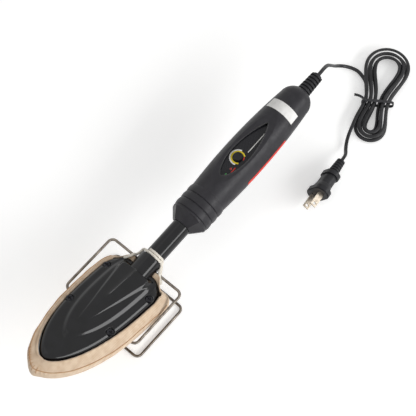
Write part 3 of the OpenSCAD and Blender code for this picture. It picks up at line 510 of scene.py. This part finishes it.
def boot_controls():
    """The boot's outline, its normals and its control curves (distance out, height), from under the sole to the hem.

    The distance out grows from 3.5 mm on the -Y side over the toe to 8.7 mm on the +Y side, where the cloth hangs
    lower, and swells at the rear corners. The hem hugs the cover at the toe, stands off along the +Y side, and climbs
    at the heel towards both sides of the neck, between which it dips under the shaft.
    """
    line = plan_line(SOLE_LEN, SOLE_WIDE, BOOT_COLUMNS)
    out = normals_2d(line, 6)
    x, y = line[:, 0], line[:, 1]
    lean = out[:, 1]
    right = smooth_step(lean)
    toeward = smooth_step(out[:, 0])
    rear = smooth_step((4 - x) / 6)
    corner = smooth_step((14 - x) / 16) * smooth_step((np.abs(y) - 10) / 12)
    belly = 6.1 + 2.6 * lean * (1 - 0.3 * toeward) + 0.9 * toeward - 1.6 * smooth_step(-out[:, 0])
    belly = belly + corner * (1.0 + 3.0 * right) - 2.2 * toeward * smooth_step(1.6 * lean)
    low = 6.2 - 3.2 * lean
    tail = cover_tail(y) * rear
    hem_z = 13.4 + 0.75 * tail
    hem_out = -0.75 - 4.0 * np.clip(out[:, 0], 0, 1) ** 4 + 1.2 * smooth_step((92 - x) / 56) * right + 1.3 * tail
    hem_out = hem_out + corner * right * 1.2 + rear * (0.8 + 0.9 * smooth_step((y - 6) / 12))
    run = np.arange(BOOT_COLUMNS) / BOOT_COLUMNS * 2 * math.pi
    toe = np.exp(-((run - math.pi) / 0.16) ** 2)
    slow = 0.35 * np.sin(4 * run + 0.6) + 0.25 * np.sin(7 * run + 2.2) + 0.18 * np.sin(17 * run + 1.0)
    darts = 0.42 * np.sin(118 * run) * toe
    rows = [(-1.2 + 0 * x, CLOTH_Z + 0 * x),
            (belly - 2.0, -0.9 + 0 * x),
            (belly - 0.35, 0.35 + 0.1 * low),
            (belly + slow, low),
            (belly - 0.3 + slow + darts, low + 2.6),
            (belly - 1.2 + 0.6 * slow + darts, low + 4.2),
            (0.45 * (belly - 1.2) + 0.55 * hem_out, np.maximum(low + 4.2, 0.35 * (low + 4.2) + 0.65 * hem_z)),
            (hem_out + 0.9, hem_z + 0.1),
            (hem_out, hem_z + 0.35),
            (hem_out - 0.35, hem_z - 0.5),
            (hem_out - 0.2, hem_z - 2.0)]
    return line, out, np.array(rows)


def under_neck(points):
    """Brings points that would lie in the neck's socket down under it."""
    x, y, z = points[..., 0], points[..., 1], points[..., 2]
    under = neck_axis_z(x) - np.sqrt(np.clip(NECK_ROOM ** 2 - y ** 2, 0, None)) / math.cos(SOLE_ANGLE)
    near = (x < 10) & (np.abs(y) < NECK_ROOM)
    points[..., 2] = np.where(near, np.minimum(z, np.maximum(under, CLOTH_Z)), z)
    return points


def boot_surface():
    """Rings of the boot: straight under the sole, then a smooth curve through its control rows."""
    line, out, rows = boot_controls()
    side = through(rows.transpose(0, 2, 1).reshape(len(rows), -1), CURVE_STEPS).reshape(-1, BOOT_COLUMNS, 2)
    wall = np.concatenate([line + out * side[..., :1], side[..., 1:]], 2)
    centre = np.array([SOLE_LEN * 0.45, 0.0])
    share = np.linspace(0.04, 0.97, UNDER_RINGS)[:, None, None]
    flat = centre + (wall[0, :, :2] - centre) * share
    sole = np.concatenate([flat, np.full((UNDER_RINGS, BOOT_COLUMNS, 1), CLOTH_Z)], 2)
    return under_neck(np.vstack([sole, wall]))


# The flat cut is the sole's outline with this much cloth past it: round the belly, up to the hem and turned in.
# It is the mean length of the boot's profile, 26.7 mm, less the 1.2 mm that lies inside the sole's edge.
BOOT_REACH = 25.5
SEAM_ROW, HEM_ROW = UNDER_RINGS + 5 * CURVE_STEPS, UNDER_RINGS + 8 * CURVE_STEPS


def round_the_toe(ring, start, spacing, passes):
    """The part of a boot's ring in front of x = start, in order from heel to heel and evenly spaced."""
    line = ring[ring[:, 0] > start]
    order = np.argsort(np.arctan2(line[:, 1], line[:, 0] - 20))
    return smoothed(resampled(line[order], spacing), passes)


def make_boot(material, thickness, thread):
    """The boot's cloth, the thread of its seam, the roll of its hem and the gathering stitches at its toe."""
    rings = boot_surface()
    faces = grid_faces(len(rings), BOOT_COLUMNS, False, True).tolist() + [list(range(BOOT_COLUMNS))[::-1]]
    made = make_piece("cloth_boot", (on_shoe(rings) * MM).reshape(-1, 3), faces, material)
    outward(made)
    thick = made.modifiers.new("thickness", "SOLIDIFY")
    thick.thickness = thickness
    thick.offset = -1
    # The seam's thread lies in the boot's upper corner
    line = round_the_toe(rings[SEAM_ROW], 1.5, 1.2, 4) + [0, 0, 0.1]
    stitched = rod("boot_seam", on_shoe(line) * MM, round_profile(0.7 * MM, 8), thread)
    # The hem's roll, which holds the string, follows the boot's edge and is puffed a little unevenly
    roll = round_the_toe(rings[HEM_ROW], 3.0, 1.0, 6) + [0, 0, -0.6]
    a = np.arange(len(roll))
    puff = 1 + 0.05 * np.sin(a * 0.9) + 0.04 * np.sin(a * 0.37 + 1)
    centre = on_shoe(roll)[:, None, :] * MM
    body = centre + (swept(on_shoe(roll) * MM, round_profile(1.0, 12)) - centre) * (2.3 * MM * puff)[:, None, None]
    rolled = grid_piece("boot_hem", body, material, close_columns=True, cap_ends=True)
    # Gathering stitches cross the seam at the toe
    tucks = []
    for k in range(9):
        column = BOOT_COLUMNS // 2 + 12 + 4 * (k - 4)
        path = rings[SEAM_ROW - 9:SEAM_ROW + 4:2, column] + [0.15, 0, 0.1]
        tucks.append(rod(f"toe_stitch_{k + 1}", on_shoe(path) * MM, round_profile(0.55 * MM, 6), thread))
    return made, stitched, rolled, tucks


# The enamelled cover: a rim, a dome, a wedge that rises to the neck, and the neck's socket

SHAFT_R = 9.0
STRING_BACK = 39.3
# Heights over the sole: the cover's foot, the screws' pockets, the flat land and the dome
COVER_FOOT, POCKET_Z, LAND_Z, DOME_Z = 12.05, 14.35, 17.3, 20.4
RIM_IN, FLANK_IN = 6.2, 6.0
DOME_AT, DOME_LEN, DOME_WIDE = -1.5, 96.5, 43.0
COVER_COLUMNS = 640
COVER_SCREWS = [(13.7, 25.3), (62.7, 23.8), (13.7, -25.3), (62.7, -23.8)]
NECK_R, NECK_FRONT, NECK_BACK = 11.2, -74.0, -41.2


def cover_tail(y):
    """How far the cover reaches behind the heel: it draws in from the corners to the neck's socket."""
    return 9.0 * smooth_step((27.0 - np.abs(y)) / 12.0)


def cover_field(x, y):
    """Height of the dome: a flat valley, and a wedge with a creased crest, sloping sides and rounded shoulders."""
    wide = 3.6 + (75 - x) * 0.2
    crest = np.interp(x, [0, 22, 60, 76], [24.9, 23.9, 21.9, 20.9])
    soft = 0.22 * smooth_step((x - 38) / 14)
    u = np.sqrt((y / wide) ** 2 + soft ** 2)
    top = 1 - 0.3 * u / 0.8
    wedge = np.where(u < 0.8, top, 0.7 * (1 - smooth_step((u - 0.77) / 0.28))) * smooth_step((77 - x) / 4)
    ridge = 1.5 * np.exp(-np.abs(y) / 2.3) * smooth_step((47 - x) / 8)
    return DOME_Z + (crest - DOME_Z) * wedge + ridge


def cover_surface():
    """Rings of the cover: foot, sloping wall, rounded rim, flat land, the dome's flank, and its closing top."""
    line = plan_line(COVER_LEN, COVER_WIDE, COVER_COLUMNS, corner=8.0, rounds=60)
    rim = plan_line(COVER_LEN - 2 * RIM_IN, COVER_WIDE - 2 * RIM_IN, COVER_COLUMNS, corner=8.0, rounds=60)
    rim = rim + [RIM_IN, 0]
    line[:, 0] -= cover_tail(line[:, 1]) * smooth_step((8 - line[:, 0]) / 8)
    rim[:, 0] -= cover_tail(rim[:, 1] * 1.2) * smooth_step((8 + RIM_IN - rim[:, 0]) / 8)
    dome = plan_line(DOME_LEN, DOME_WIDE, COVER_COLUMNS, corner=8.0, rounds=60) + [DOME_AT, 0]
    top = plan_line(DOME_LEN - 2 * FLANK_IN, DOME_WIDE - 2 * FLANK_IN, COVER_COLUMNS, corner=6.0, rounds=60)
    top = top + [DOME_AT + FLANK_IN, 0]
    wall = through([(-3.0, COVER_FOOT), (0.0, COVER_FOOT), (-0.3, 12.8), (-1.5, 14.8), (-2.9, 16.05), (-4.3, 16.95),
                    (-5.4, 17.25), (-6.2, LAND_Z)], 4)
    flank = through([(1.4, LAND_Z), (0.2, 17.38), (-1.0, 17.9), (-2.4, 18.9), (-3.8, 19.85), (-5.0, 20.3),
                     (-6.0, DOME_Z)], 4)
    rings = [np.column_stack([line - (rim - line) * d / RIM_IN, np.full(COVER_COLUMNS, z)]) for d, z in wall]
    edge, inner = rings[-1][:, :2], dome - (top - dome) * flank[0, 0] / FLANK_IN
    share = np.linspace(0, 1, 8)[1:-1]
    rings += [np.column_stack([edge + (inner - edge) * s, np.full(COVER_COLUMNS, LAND_Z)]) for s in share]
    for d, z in flank:
        flat = dome - (top - dome) * d / FLANK_IN
        over = cover_field(flat[:, 0], flat[:, 1]) - DOME_Z
        rings.append(np.column_stack([flat, z + over * smooth_step((-d - 2.2) / 3.8)]))
    middle = np.array([42.0, 0.0])
    for s in 1 - np.linspace(0, 1, 40)[1:-1] ** 1.05:
        flat = middle + (top - middle) * s
        rings.append(np.column_stack([flat, cover_field(flat[:, 0], flat[:, 1])]))
    rings = np.array(rings)
    for x, y in COVER_SCREWS:
        reach = np.hypot(rings[..., 0] - x, rings[..., 1] - y)
        sunk = smooth_step((3.9 - reach) / 0.6) * (rings[..., 2] > POCKET_Z)
        rings[..., 2] += (POCKET_Z - rings[..., 2]) * sunk
    return rings


def make_cover(material):
    """The cover and the socket on the shaft, whose top carries on the wedge's crease."""
    rings = cover_surface()
    cover = grid_piece("enamelled_cover", on_shoe(rings) * MM, material, close_columns=True, cap_ends=True)
    a = np.linspace(0, 2 * math.pi, 180, endpoint=False)
    crease = 1.7 * np.exp(-np.minimum(a, 2 * math.pi - a) / math.radians(13))
    along = np.linspace(NECK_FRONT, NECK_BACK, 34)
    back = [(NECK_R - 0.25, NECK_BACK + 0.35), (NECK_R - 0.9, NECK_BACK + 0.6), (SHAFT_R + 0.15, NECK_BACK + 0.6)]
    reach = [(NECK_R + 0.5 * (NECK_BACK - t) / (NECK_BACK - NECK_FRONT), t) for t in along] + back
    reach += [(SHAFT_R + 0.1, t) for t in (NECK_BACK - 1, NECK_FRONT)]
    sleeve = []
    for r, t in reach:
        lift = crease * (1 if r >= NECK_R - 0.3 else 0)
        sleeve.append(np.stack([(r + lift) * np.cos(a), (r + lift) * np.sin(a), np.full(len(a), t)], 1))
    neck = on_handle(np.array(sleeve))
    # In front of the heel the socket stops on the cover's foot
    shoe = (neck - HEEL) @ SHOE_TURN
    shoe[..., 2] = np.where(shoe[..., 0] > 0.2, np.maximum(shoe[..., 2], COVER_FOOT + 0.3), shoe[..., 2])
    socket = grid_piece("neck_socket", on_shoe(shoe) * MM, material, close_rows=True, close_columns=True)
    return cover, socket


def on_shaft(angles, radius, back):
    """Points round the shaft, at angles in degrees from its top and a distance in millimetres before the nose."""
    a = np.radians(np.asarray(angles, float))
    return on_handle(np.stack([radius * np.cos(a), radius * np.sin(a), np.full(len(a), -back)], 1))


def rope(name, points, width, material):
    """A string of three strands: the radius has three lobes, and each takes the next one's place in 5 mm."""
    step, lay = 0.7, 5.0
    line = smoothed(resampled(points, step), 4)
    a = np.linspace(0, 2 * math.pi, 16, endpoint=False)
    r = width / 2 * (0.84 + 0.16 * np.abs(np.cos(1.5 * a)))
    profile = np.stack([np.cos(a), np.sin(a)], 1) * r[:, None]
    turns = 2 * math.pi / 3 * step / lay * np.arange(len(line))
    return rod(name, line * MM, profile, material, up=(0.2, 0.1, 1), twist=turns)


def make_drawstring(material, width):
    """The string leaves the hem at both rear corners, follows the heel's edge and crosses twice behind the socket."""
    r = SHAFT_R + width / MM / 2 + 0.15
    left = on_shoe([(-2.5, -19.5, 17.0), (-5.5, -16.5, 19.0), (-9, -14.8, 20.5)])
    right = on_shoe([(-14, 12.6, 19.8), (-11, 15.4, 18.2), (-8.6, 18.6, 16.6), (-6.0, 22.0, 14.8)])
    loose = np.array([1.2, 1.2, 0.9, 0.5, 0.2, 0.2, 0.3])
    over = np.vstack([on_shaft([a], r + e, STRING_BACK) for a, e in zip((-75, -50, -25, 0, 25, 50, 72), loose)])
    beside = NECK_R + 0.5 + width / MM / 2 + 0.2
    first = np.vstack([left, on_shaft([-86], beside, 45.5), over, on_shaft([86], beside, 45.0), right])
    second = np.vstack([on_shaft([-26, -5, 15, 40, 62], r + 0.2, STRING_BACK - width / MM * 1.05),
                        on_shaft([84], r + 0.8, STRING_BACK + 0.5), on_shoe([(-12.5, 16, 16.0), (-8.5, 20.5, 13.6)])])
    return [rope("edge_string", through(first, 8), width, material),
            rope("edge_string_end", through(second, 8), width, material)]


def make_tie(material):
    """A flat wire-cored tie round the hank's waist, with its two twisted ends standing off one side."""
    wide = (WAIST_HALF + 1.8 + 0.65 + 0.5) / math.cos(math.radians(12))
    high = HANK_LOW + LAYER_H + 1.8 + 1.3 + 0.2
    a = np.linspace(0, 2 * math.pi, 72, endpoint=False)
    y = wide * np.sign(np.cos(a)) * np.abs(np.cos(a)) ** 0.5
    z = high / 2 + (high - 1.3) / 2 * np.sign(np.sin(a)) * np.abs(np.sin(a)) ** 0.5
    turn = HANK_DIR + math.radians(12)
    c, s = math.cos(turn), math.sin(turn)

    def placed(p):
        return np.stack([HANK_AT[0] + p[:, 0] * c - p[:, 1] * s, HANK_AT[1] + p[:, 0] * s + p[:, 1] * c, p[:, 2]], 1)

    band = placed(np.stack([np.zeros(72), y, z], 1))
    flat = np.array([(1.6, 0), (1.3, 0.45), (-1.3, 0.45), (-1.6, 0), (-1.3, -0.45), (1.3, -0.45)])
    ring = swept(band * MM, flat[:, ::-1] * MM, closed=True, up=(c, s, 0))
    made = grid_piece("twist_tie_band", ring, material, close_rows=True, close_columns=True)
    ends = []
    for k in (0, 1):
        t = np.linspace(0, 1, 40)
        spin = 2 * math.pi * 3 * t + math.pi * k
        mid = np.stack([-5 * t, -wide + 3 - 11 * t, high - 0.7 + 2.0 * np.sin(math.pi * t)], 1)
        coil = mid + 0.7 * np.stack([np.cos(spin), np.zeros(40), np.sin(spin)], 1)
        ends.append(rod(f"twist_tie_end_{k + 1}", placed(coil) * MM, flat * [0.5, 1] * MM, material))
    return [made] + ends


# Markings, and the dressing of the solids kept from the part

PANEL_X, PRINT_LIFT = 14.4, 0.08
DIAL_T = 80.0
LEAF_FROM, LEAF_TO, LEAF_HALF = 55.8, 123.2, 9.3
MOUTH_X, SCOOP_T, SCOOP_R = 16.4, 90.0, 408.0
NOSE_LEN, NOSE_CONE, NOSE_PITCH, NOSE_R = 36.0, 9.5, 8.0, 18.65
FACET_FROM, FACET_TO = 10.0, 17.7


def arc_strip(name, radius, width, start, end, material):
    """A thin printed arc on the control panel, round the dial: angles in degrees, 0 towards the nose."""
    a = np.radians(np.linspace(start, end, 60))
    near, far = radius - width / 2, radius + width / 2
    rows = [np.stack([np.full(60, PANEL_X + top), r * np.sin(a), DIAL_T - r * np.cos(a)], 1)
            for r, top in ((near, 0), (far, 0), (far, PRINT_LIFT), (near, PRINT_LIFT))]
    return grid_piece(name, on_handle(np.stack(rows, 1)) * MM, material, close_columns=True, cap_ends=True)


def bar_strip(name, y, width, start, end, material):
    """A thin printed line along the panel, from start to end in millimetres behind the nose."""
    y0, y1, top = y - width / 2, y + width / 2, PANEL_X + PRINT_LIFT
    rows = [[(PANEL_X, y0, t), (PANEL_X, y1, t), (top, y1, t), (top, y0, t)] for t in np.linspace(start, end, 12)]
    return grid_piece(name, on_handle(np.array(rows)) * MM, material, close_columns=True, cap_ends=True)


def painted_shade_rim(material):
    """A black strip round the panel's mouth, painted shade for the recess's shadowed wall; its outline is a half
    width of 9.3 mm times sin(pi k^0.8)^0.72.
    """
    k = np.linspace(0, 1, 90)
    t = LEAF_FROM + (LEAF_TO - LEAF_FROM) * k
    y = LEAF_HALF * np.maximum(0.05, np.sin(math.pi * k ** 0.8).clip(0) ** 0.72)
    loop = np.vstack([np.stack([y, t], 1), np.stack([-y, t], 1)[::-1]])
    out = normals_2d(loop)
    high = MOUTH_X + (loop[:, 1] - SCOOP_T) ** 2 / (2 * SCOOP_R)
    sides = [(-0.2, -0.9), (-0.2, 0.07), (0.75, 0.07), (0.75, -0.9)]
    rows = [np.stack([high + top, loop[:, 0] + out[:, 0] * d, loop[:, 1] + out[:, 1] * d], 1) for d, top in sides]
    return grid_piece("painted_shade_rim", on_handle(np.stack(rows, 1)) * MM, material, close_rows=True, close_columns=True)


def nose_radius(t):
    """Radius behind the facets: pillows 8 mm long that bulge by 0.65 mm, parted by V grooves 0.8 mm deep."""
    pillow = 0.65 * (1 - (((t - NOSE_CONE - 2.5) % NOSE_PITCH) / NOSE_PITCH * 2 - 1) ** 2)
    off = np.abs((t - NOSE_CONE - 2.5 + NOSE_PITCH / 2) % NOSE_PITCH - NOSE_PITCH / 2)
    groove = 0.8 * np.clip(1 - off / 0.55, 0, 1) * (t < NOSE_LEN - 2)
    return NOSE_R + pillow * (t > NOSE_CONE + 2.5) - groove


def make_nose(material):
    """The handle's nose: eight flat facets whose width grows along a pyramid, then soft rings parted by grooves."""
    sides, per_side = 8, 12
    a = np.arange(sides * per_side) * 2 * math.pi / (sides * per_side)
    half = math.pi / sides
    flat = 1 / np.cos((a % (2 * half)) - half)
    rows = [(0.0, SHAFT_R + 0.2 + 0 * a)]
    rows += [(t, FACET_FROM + (FACET_TO - FACET_FROM) * t / NOSE_CONE + 0 * a) for t in (0.0, NOSE_CONE)]
    rows = rows[:1] + [(t, r * flat) for t, r in rows[1:]]
    rows += [(t, nose_radius(t) + 0 * a) for t in np.linspace(NOSE_CONE + 0.5, NOSE_LEN, 110)]
    rows += [(NOSE_LEN, SHAFT_R + 0.2 + 0 * a)]
    grid = np.array([np.stack([r * np.cos(a), r * np.sin(a), np.full(len(a), t)], 1) for t, r in rows])
    made = grid_piece("faceted_nose", on_handle(grid) * MM, material, close_rows=True, close_columns=True)
    smooth = np.ones(len(made.data.polygons), bool)
    smooth[:3 * len(a)] = False
    made.data.polygons.foreach_set("use_smooth", smooth)
    return made


def dress(nodes, material):
    """Gives solids kept from the part their finish."""
    for name in nodes:
        solid = NODES[name]
        solid.data.materials.clear()
        solid.data.materials.append(material)


def settle(pieces, body):
    """Each made piece rides a body."""
    for piece in pieces:
        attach(piece, body)


def boot_cut():
    """The boot's pattern: width, length and area in metres, the area by the shoelace formula on its outline."""
    line = plan_line(SOLE_LEN, SOLE_WIDE, BOOT_COLUMNS)
    line = (line + normals_2d(line, 6) * BOOT_REACH) * MM
    x, y = line[:, 0], line[:, 1]
    area = abs(float((x * np.roll(y, -1) - y * np.roll(x, -1)).sum())) / 2
    return float(np.ptp(y)), float(np.ptp(x)), area


class BootSettings(bpy.types.PropertyGroup):
    """The cloth boot round the shoe."""
    string_width: FloatProperty(
        name="String", description="Diameter of the string in the boot's edge",
        default=2.6 * MM, min=1 * MM, max=4 * MM, unit="LENGTH")
    cloth_thickness: FloatProperty(
        name="Cloth", description="Thickness of the boot's cloth",
        default=0.7 * MM, min=0.3 * MM, max=1.2 * MM, unit="LENGTH")


class CordSettings(bpy.types.PropertyGroup):
    """The mains cord."""
    width: FloatProperty(
        name="Width", description="Width of the cord across its two cores",
        default=3.7 * MM, min=2 * MM, max=6 * MM, unit="LENGTH")
    thickness: FloatProperty(
        name="Thickness", description="Thickness of the cord over one core",
        default=2.5 * MM, min=1.5 * MM, max=4 * MM, unit="LENGTH")


class StageSettings(bpy.types.PropertyGroup):
    """Floor, lights and camera."""
    key_power: FloatProperty(
        name="Key light", description="Power of the light over the object",
        default=1.5, min=0.0, max=200.0, unit="POWER")
    side_power: FloatProperty(
        name="Side light", description="Power of the long light on the +Y side",
        default=14.0, min=0.0, max=100.0, unit="POWER")
    sky: FloatProperty(
        name="Sky", description="Strength of the plain sky light",
        default=0.5, min=0.0, max=3.0)


class IRON_OT_stand(bpy.types.Operator):
    """Dresses the bent wire stand"""
    bl_idname = "iron.stand"
    bl_label = "Wire stand"

    def execute(self, context):
        dress(["wire_stand"], zinc_plated_wire())
        return {"FINISHED"}


class IRON_OT_shoe(bpy.types.Operator):
    """Dresses the sole, its heater and the enamelled cover"""
    bl_idname = "iron.shoe"
    bl_label = "Shoe"

    def execute(self, context):
        dress(["sole_plate"], cast_aluminium())
        cover, socket = make_cover(black_enamel())
        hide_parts("shoe_cover")
        settle([cover, socket], "iron")
        dress(["cover_screws", "clamp_screws"], blackened_screw())
        dress(["heating_element"], inner_finish("Mica laminate", "#9c7f58", "#b89a70"))
        dress(["thermal_sensor"], inner_finish("Fired ceramic", "#d9d5cb", "#e8e4da", 0.5))
        dress(["clamp_plate"], inner_finish("Zinc-plated pressing", "#a8abae", "#c3c6c9", 0.35, 1.0))
        dress(["insulating_sheet"], inner_finish("Pressed ceramic fibre", "#cdbf9f", "#ded3b8", 0.9))
        return {"FINISHED"}


class IRON_OT_boot(bpy.types.Operator):
    """Makes the gathered cloth boot and the string drawn through its edge"""
    bl_idname = "iron.boot"
    bl_label = "Cloth boot"

    def execute(self, context):
        options = context.scene.iron_boot
        boot, seam, hem, tucks = make_boot(woven_cotton(), options.cloth_thickness, brown_thread())
        string = make_drawstring(cotton_string(), options.string_width)
        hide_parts("sock")
        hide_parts("drawstring")
        settle([boot, seam, hem] + tucks, "iron")
        settle(string, "iron")
        wide, long, area = boot_cut()
        return {"FINISHED"}


class IRON_OT_neck(bpy.types.Operator):
    """Dresses the shaft tube and the leads inside it"""
    bl_idname = "iron.neck"
    bl_label = "Neck"

    def execute(self, context):
        dress(["shaft_tube"], black_enamel())
        dress(["heater_leads"], inner_finish("Glass-fibre sleeve", "#d8d2c2", "#e8e3d6", 0.8))
        return {"FINISHED"}


class IRON_OT_handle(bpy.types.Operator):
    """Dresses the moulded handle with its nose, strips, cap and guard"""
    bl_idname = "iron.handle"
    bl_label = "Handle"

    def execute(self, context):
        nylon = moulded_nylon("Moulded glass-filled nylon", "#232226", "#2b2a2e", 0.42)
        dress(["handle_bottom_shell", "handle_top_shell", "end_cap"], nylon)
        nose = make_nose(nylon)
        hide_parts("nose_collar")
        settle([nose], "iron")
        dress(["cord_guard"], moulded_nylon("Soft moulded guard", "#1f1f22", "#29292c", 0.6))
        dress(["shell_screws"], blackened_screw())
        dress(["side_strip_left", "side_strip_right"], gloss_red_inlay())
        dress(["cord_clamp"], inner_finish("Moulded clamp", "#4c4c52", "#5d5d63"))
        return {"FINISHED"}


class IRON_OT_controls(bpy.types.Operator):
    """Dresses the panel, knob and lamps, prints the dial's plain scale, and paints shade round the panel's mouth"""
    bl_idname = "iron.controls"
    bl_label = "Controls"

    def execute(self, context):
        dress(["control_panel"], printed_panel())
        dress(["dial_knob"], moulded_nylon("Gloss moulded knob", "#101012", "#18181a", 0.3))
        dress(["dial_shaft"], inner_finish("Turned brass, plated", "#b9b4a6", "#cfcabc", 0.3, 1.0))
        dress(["power_lamp"], lamp_lens("Red lamp lens", "#a01812", "#e0382a"))
        dress(["ready_lamp"], lamp_lens("Green lamp lens", "#1f8a3a", "#48c05a"))
        dress(["rating_label"], bare_label_film())
        white = inner_finish("White panel print", "#e4e3de", "#f0efea", 0.5)
        yellow = inner_finish("Yellow panel print", "#e0c51c", "#ead432", 0.5)
        red = inner_finish("Red panel print", "#dc2c20", "#e83e30", 0.5)
        green = inner_finish("Green panel print", "#0f9450", "#1ea962", 0.5)
        marks = [arc_strip("scale_white", 7.5, 1.3, -170, 20, white),
                 arc_strip("scale_yellow", 6.0, 1.6, -225, 45, yellow),
                 arc_strip("scale_end", 5.6, 1.0, 96, 130, red),
                 # The black strip round the panel's mouth is painted shade for the recess's shadowed wall
                 painted_shade_rim(inner_finish("Black painted shade round the panel", "#08080a", "#101012", 0.35)),
                 bar_strip("panel_line", 4.0, 0.9, 89.5, 116.5, white),
                 bar_strip("power_bar", 5.0, 1.2, 64.0, 70.5, red),
                 bar_strip("ready_bar", 4.6, 1.2, 60.0, 63.0, green)]
        settle(marks, "iron")
        return {"FINISHED"}


class IRON_OT_inside(bpy.types.Operator):
    """Dresses the circuit board and the parts on it"""
    bl_idname = "iron.inside"
    bl_label = "Inside parts"

    def execute(self, context):
        dress(["circuit_board"], inner_finish("Glass-epoxy board", "#1d4a2a", "#276238", 0.4))
        dress(["potentiometer", "triac"], inner_finish("Phenolic moulding", "#26262a", "#34343a", 0.5))
        dress(["capacitor"], inner_finish("Dipped epoxy", "#b98a2a", "#cfa040", 0.4))
        dress(["terminal_block"], inner_finish("Green moulding", "#2f7a4c", "#3b8f5c", 0.5))
        dress(["supply_wires"], inner_finish("Vinyl wire", "#7c2a20", "#92352a", 0.5))
        return {"FINISHED"}


class IRON_OT_cord(bpy.types.Operator):
    """Makes the mains cord with its tied hank, and dresses the plug"""
    bl_idname = "iron.cord"
    bl_label = "Cord and plug"

    def execute(self, context):
        options = context.scene.iron_cord
        cord, line, length = make_cord(vinyl_cord(), options.width, options.thickness)
        tie = make_tie(moulded_nylon("Tie ribbon", "#29292c", "#343437", 0.5))
        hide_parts("cord_lead", "cord_hank", "cord_tail")
        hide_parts("twist_tie")
        settle([cord] + tie, "iron")
        dress(["plug_body"], moulded_nylon("Moulded vinyl plug", "#1c1c1f", "#262629", 0.45))
        dress(["plug_blades"], nickel_plated_brass())
        return {"FINISHED"}


class IRON_OT_stage(bpy.types.Operator):
    """Sets the pale floor, the soft studio lights, the plain sky and the camera"""
    bl_idname = "iron.stage"
    bl_label = "Stage and camera"

    def execute(self, context):
        make_stage(context.scene, context.scene.iron_stage)
        return {"FINISHED"}


def seen_rays(tree):
    """1 for rays from the camera, mirrors and glass, and 0 for the rays that light the object."""
    path = add(tree, "ShaderNodeLightPath").outputs
    first = add(tree, "ShaderNodeMath", {0: path["Is Camera Ray"], 1: path["Is Glossy Ray"]}, operation="MAXIMUM")
    both = add(tree, "ShaderNodeMath", {0: first.outputs[0], 1: path["Is Transmission Ray"]}, operation="MAXIMUM")
    return both.outputs[0]


def paper_floor():
    """Matt white card; seen directly it is lifted towards white, and its shadows stay."""
    made, tree, shader = begin("Matt white card", Roughness=0.9)
    colour = mottled(tree, "#f6f6f5", "#f9f9f8", 180.0, own_coords(tree))
    tree.links.new(colour, shader.inputs["Base Color"])
    lift = add(tree, "ShaderNodeMath", {0: seen_rays(tree), 1: FLOOR_LIFT}, operation="MULTIPLY")
    shader.inputs["Emission Color"].default_value = (1.0, 1.0, 1.0, 1.0)
    tree.links.new(lift.outputs[0], shader.inputs["Emission Strength"])
    return made


FLOOR_LIFT = 0.36
FLOOR_HALF = 4.0
CAMERA_AT = (0.266345, 0.2613, 0.9128)
CAMERA_TURN = (24.39, 0.0, 130.36)
CAMERA_LENS = 90.4


def lamp(name, size, power, at, towards):
    """A square area light aimed from one point at another, in metres and watts."""
    made = bpy.data.lights.new(name, "AREA")
    made.size = size
    made.energy = power
    thing = bpy.data.objects.new(name, made)
    thing.location = at
    way = Vector(towards) - Vector(at)
    thing.rotation_euler = way.to_track_quat("-Z", "Y").to_euler()
    bpy.context.scene.collection.objects.link(thing)
    return thing


def make_stage(scene, options):
    """The floor, the two lights, the sky and the camera."""
    half = FLOOR_HALF
    corners = np.array([(-half, -half, 0), (half, -half, 0), (half, half, 0), (-half, half, 0)])
    floor = make_piece("floor", corners, [(0, 1, 2, 3)], paper_floor(), smooth=False)
    middle = (0.0, 0.0, 0.03)
    lamp("key", 1.4, options.key_power, (0.35, -0.75, 1.5), middle)
    side = lamp("side", 2.2, options.side_power, (-0.15, 1.15, 0.6), middle)
    side.data.shape = "RECTANGLE"
    side.data.size_y = 0.34

    world = bpy.data.worlds.new("Plain studio")
    world.use_nodes = True
    tree = world.node_tree
    sky = tree.nodes["Background"]
    sky.inputs["Color"].default_value = (1.0, 1.0, 1.0, 1.0)
    level = add(tree, "ShaderNodeMapRange", {"Value": seen_rays(tree), "To Min": options.sky, "To Max": 1.0})
    tree.links.new(level.outputs["Result"], sky.inputs["Strength"])
    scene.world = world

    lens = bpy.data.cameras.new("camera")
    lens.lens = CAMERA_LENS
    lens.sensor_width = 36.0
    eye = bpy.data.objects.new("camera", lens)
    eye.location = CAMERA_AT
    eye.rotation_euler = [math.radians(a) for a in CAMERA_TURN]
    scene.collection.objects.link(eye)
    scene.camera = eye
    scene.view_settings.view_transform = "Standard"


class IRON_PT_panel(bpy.types.Panel):
    """Buttons for the sealing iron's pieces"""
    bl_idname = "IRON_PT_panel"
    bl_label = "Sealing iron"
    bl_space_type = "VIEW_3D"
    bl_region_type = "UI"
    bl_category = "Sealing iron"

    def draw(self, context):
        layout = self.layout
        for group in (context.scene.iron_boot, context.scene.iron_cord, context.scene.iron_stage):
            box = layout.box()
            for key in group.__annotations__:
                box.prop(group, key)
        for operator in OPERATORS:
            layout.operator(operator.bl_idname)


SETTINGS = {"iron_boot": BootSettings, "iron_cord": CordSettings, "iron_stage": StageSettings}
OPERATORS = (IRON_OT_stand, IRON_OT_shoe, IRON_OT_boot, IRON_OT_neck, IRON_OT_handle, IRON_OT_controls,
             IRON_OT_inside, IRON_OT_cord, IRON_OT_stage)


def register():
    for kind in (*SETTINGS.values(), *OPERATORS, IRON_PT_panel):
        bpy.utils.register_class(kind)
    for name, kind in SETTINGS.items():
        setattr(bpy.types.Scene, name, PointerProperty(type=kind))


def unregister():
    for name in SETTINGS:
        delattr(bpy.types.Scene, name)
    for kind in reversed((*SETTINGS.values(), *OPERATORS, IRON_PT_panel)):
        bpy.utils.unregister_class(kind)


def main():
    register()
    bpy.ops.iron.stand()
    bpy.ops.iron.shoe()
    bpy.ops.iron.boot()
    bpy.ops.iron.neck()
    bpy.ops.iron.handle()
    bpy.ops.iron.controls()
    bpy.ops.iron.inside()
    bpy.ops.iron.cord()
    bpy.ops.iron.stage()


if __name__ == "__main__":
    main()
